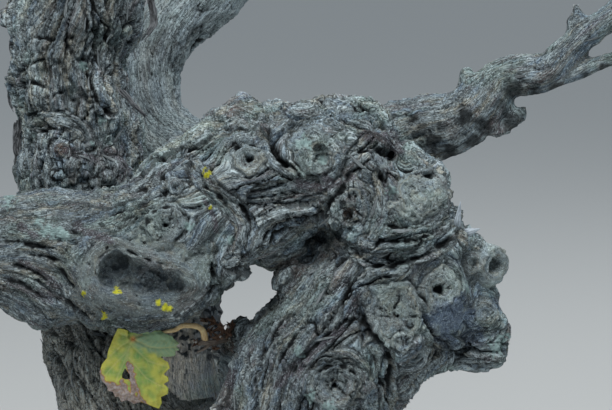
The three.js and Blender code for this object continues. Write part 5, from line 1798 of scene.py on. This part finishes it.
for made, name, material in (
    (stalks, "leaf_stalk", STALK_SKIN), (shoots, "young_shoot", CANE_BARK), (scales, "bud_scales", BUD_SCALE),
    (wool, "bud_wool", cane_material("bud_wool", (0.55, 0.55, 0.53), (0.34, 0.33, 0.31), 3.0)),
):
    made.piece(name, material, "leaf", "leaf_shoot")

# Loose strips of bark that peel off along the fibres: how many on each piece of wood, and how far they lift
# in mm. Their width along the way is a share of the widest.
SHREDS = {
    "left_limb": (150, 1.6), "front_arm": (50, 1.0), "front_head": (40, 1.0), "front_stem": (60, 1.2),
    "trunk": (130, 1.6), "back_stem": (80, 1.6), "back_arm": (50, 1.4), "right_arm": (20, 0.8),
}
SHRED_WIDTH = np.array([0.3, 0.75, 1.0, 1.0, 0.9, 0.75, 0.5, 0.15])


def shred_piece(node, count, lift):
    """Thin closed ribbons that follow the fibres over the wood and lift off it at one end."""
    chosen = rng.choice(np.flatnonzero(groups[node]), count)
    corner, run = moved[faces[chosen]], flow[faces[chosen]][:, :, 0]
    side, other = corner[:, 1] - corner[:, 0], corner[:, 3] - corner[:, 0]
    run_along = lambda k, e: ((run[:, k] - run[:, 0]) / (e**2).sum(1))[:, None] * e
    rate = run_along(1, side) + run_along(3, other)
    way = unit(rate) * rng.choice([-1, 1], count)[:, None]
    at = points[faces[chosen]].mean(1)
    high = height[faces[chosen]].mean(1)
    fixed = (callus[faces[chosen]].mean(1) < 0.3) & (np.linalg.norm(rate, axis=1) < 2.5)
    fixed &= (high > -1.5) & (at[:, 2] > 25)
    length, width = rng.uniform(8, 22, count), rng.uniform(0.7, 1.7, count)
    rise = lift * rng.uniform(0.1, 1.0, count) ** 2
    path, normals_on = [], []
    for k in range(len(SHRED_WIDTH)):
        normal = unit(field.slope(at))
        share = k / (len(SHRED_WIDTH) - 1)
        path.append(at + normal * (high - 0.3 + rise * share**2)[:, None])
        normals_on.append(normal)
        way = unit(way + rng.normal(0, 0.07, (count, 3)))
        way = unit(way - (way * normal).sum(1)[:, None] * normal)
        at = settle(at + way * (length / len(SHRED_WIDTH))[:, None], 1)
    path, normals_on = np.stack(path, 1), np.stack(normals_on, 1)
    tubes = Tubes()
    for k in np.flatnonzero(fixed):
        tubes.add(path[k], SHRED_WIDTH * width[k], 8, 0.25, normals_on[k].mean(0))
    tubes.piece(node + "_shreds", SHRED, SLOTS.get(node, "bark"), node)


for node, (count, lift) in SHREDS.items():
    shred_piece(node, count, lift)

# Torn strips of bark on the left limb: depth in mm, then x and y in the picture and radius in mm along each.
STRIPS_OFF = [
    (104, (137, -26, 2.0), (146, -10, 2.6), (152, 6, 2.4), (154, 20, 2.8), (150, 31, 2.2), (144, 40, 0.8)),
    (84, (118, 86, 2.0), (126, 96, 2.4), (134, 105, 2.2), (141, 112, 1.8), (146, 116, 1.2)),
    (124, (17, 76, 1.2), (11, 90, 1.6), (10, 101, 1.3), (14, 112, 0.6)),
    (120, (20, 112, 1.6), (18, 124, 2.8), (17, 136, 3.2), (17, 148, 3.0), (18, 158, 2.4), (15, 168, 0.8)),
    (124, (22, 158, 1.5), (17, 170, 1.8), (19, 182, 0.8)),
    (124, (15, 30, 1.0), (11, 44, 1.5), (13, 60, 0.6)),
]
# Splinters on the head: where they stand in the picture, how they reach and how thick they are, in mm.
SPLINTERS = [((457, 226), (2, -4, 19), 3.2), ((466, 233), (10, -4, 4), 3.4), ((434, 168), (3, -2, 4), 1.6)]
STRANDS = 6
torn = Tubes()
for depth, *places in STRIPS_OFF:
    x, y, radius = np.array(places, float).T
    line = smooth_line(np.column_stack([on_plane(x, y, depth), radius]), 1.5)
    for k in range(STRANDS):
        trim = rng.integers(0, 1 + len(line) // 4, 2)
        part = line[trim[0] : len(line) - trim[1]]
        drift = noise(part[:, :3] / 8, 72 + k)
        spine = part[:, :3] + np.outer((0.36 * (k - 2.5) + 0.35 * drift) * part[:, 3], [1, 0, 0])
        spine = spine + np.outer(0.5 * noise(part[:, :3] / 6, 82 + k) * part[:, 3], [0, 1, 0.3])
        torn.add(spine, part[:, 3] * 0.3 * (1 + 0.4 * noise(part[:, :3] / 3, 92 + k)), 6, 0.7)
torn_strip = cane_material("torn_strip", (0.15, 0.16, 0.17), (0.03, 0.03, 0.032))
torn.piece("torn_bark", torn_strip, "bark", "left_limb")
splinters = Tubes()
for place, reach, thick in SPLINTERS:
    foot = seen(*place, 2)
    spine = [foot + np.array(reach) * t for t in (0, 0.3, 0.6, 0.85, 1.0)]
    splinters.add(spine, np.array([1.0, 0.8, 0.5, 0.25, 0.06]) * thick, 8, 0.6)
splinter = cane_material("splinter", (0.52, 0.60, 0.66), (0.28, 0.32, 0.36))
splinters.piece("splinters", splinter, "bark", "front_head")

# Camera, floor and soft light. A softbox has its place in metres, its size, power and colour.
SENSOR, FLOOR_REACH = 36, 60000
FLOOR_COLOUR, SKY_COLOUR, SKY_STRENGTH = (0.60, 0.60, 0.58, 1), (0.80, 0.90, 1.0, 1), 0.42
SOFTBOXES = [((-0.15, -0.8, 2.2), 1.4, 42, (1.0, 0.99, 0.97)), ((1.5, 1.2, 2.0), 1.6, 14, (0.92, 0.96, 1.0))]
SOFTBOX_AIM = np.array([0.08, 0.05, 0.45])
camera = put("camera", bpy.data.cameras.new("camera"))
camera.location = EYE * 0.001
camera.rotation_euler = (math.pi / 2 - ELEVATION, 0, 0)
camera.data.sensor_width = SENSOR
camera.data.lens = SENSOR * DISTANCE / (PICTURE[0] * PIXEL)
camera.data.clip_end = 100
bpy.context.scene.camera = camera

corners = np.array([[-1, -1, 0], [1, -1, 0], [1, 1, 0], [-1, 1, 0]], float) * FLOOR_REACH
floor = mesh_piece("floor", corners, np.array([[0, 1, 2, 3]]), {})
paint = Nodes("floor_paint")
paint.plug(paint.shader.inputs["Base Color"], FLOOR_COLOUR)
paint.plug(paint.shader.inputs["Roughness"], 1.0)
floor.data.materials.append(paint.material)
floor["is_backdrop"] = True

world = bpy.data.worlds.new("world")
bpy.context.scene.world = world
world.use_nodes = True
sky = world.node_tree.nodes["Background"]
sky.inputs[0].default_value = SKY_COLOUR
sky.inputs[1].default_value = SKY_STRENGTH
for place_m, size, power, colour in SOFTBOXES:
    light = bpy.data.lights.new("softbox", "AREA")
    light.size = size
    light.energy = power
    light.color = colour
    lamp = put("softbox", light)
    lamp.location = place_m
    lamp.rotation_euler = Vector(SOFTBOX_AIM - np.array(place_m)).to_track_quat("-Z", "Y").to_euler()
bpy.context.scene.view_settings.view_transform = "Standard"

boxes = {"cad": cad_box, "visual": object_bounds()}
boxes = {key: [list(map(float, corner)) for corner in box] for key, box in boxes.items()}
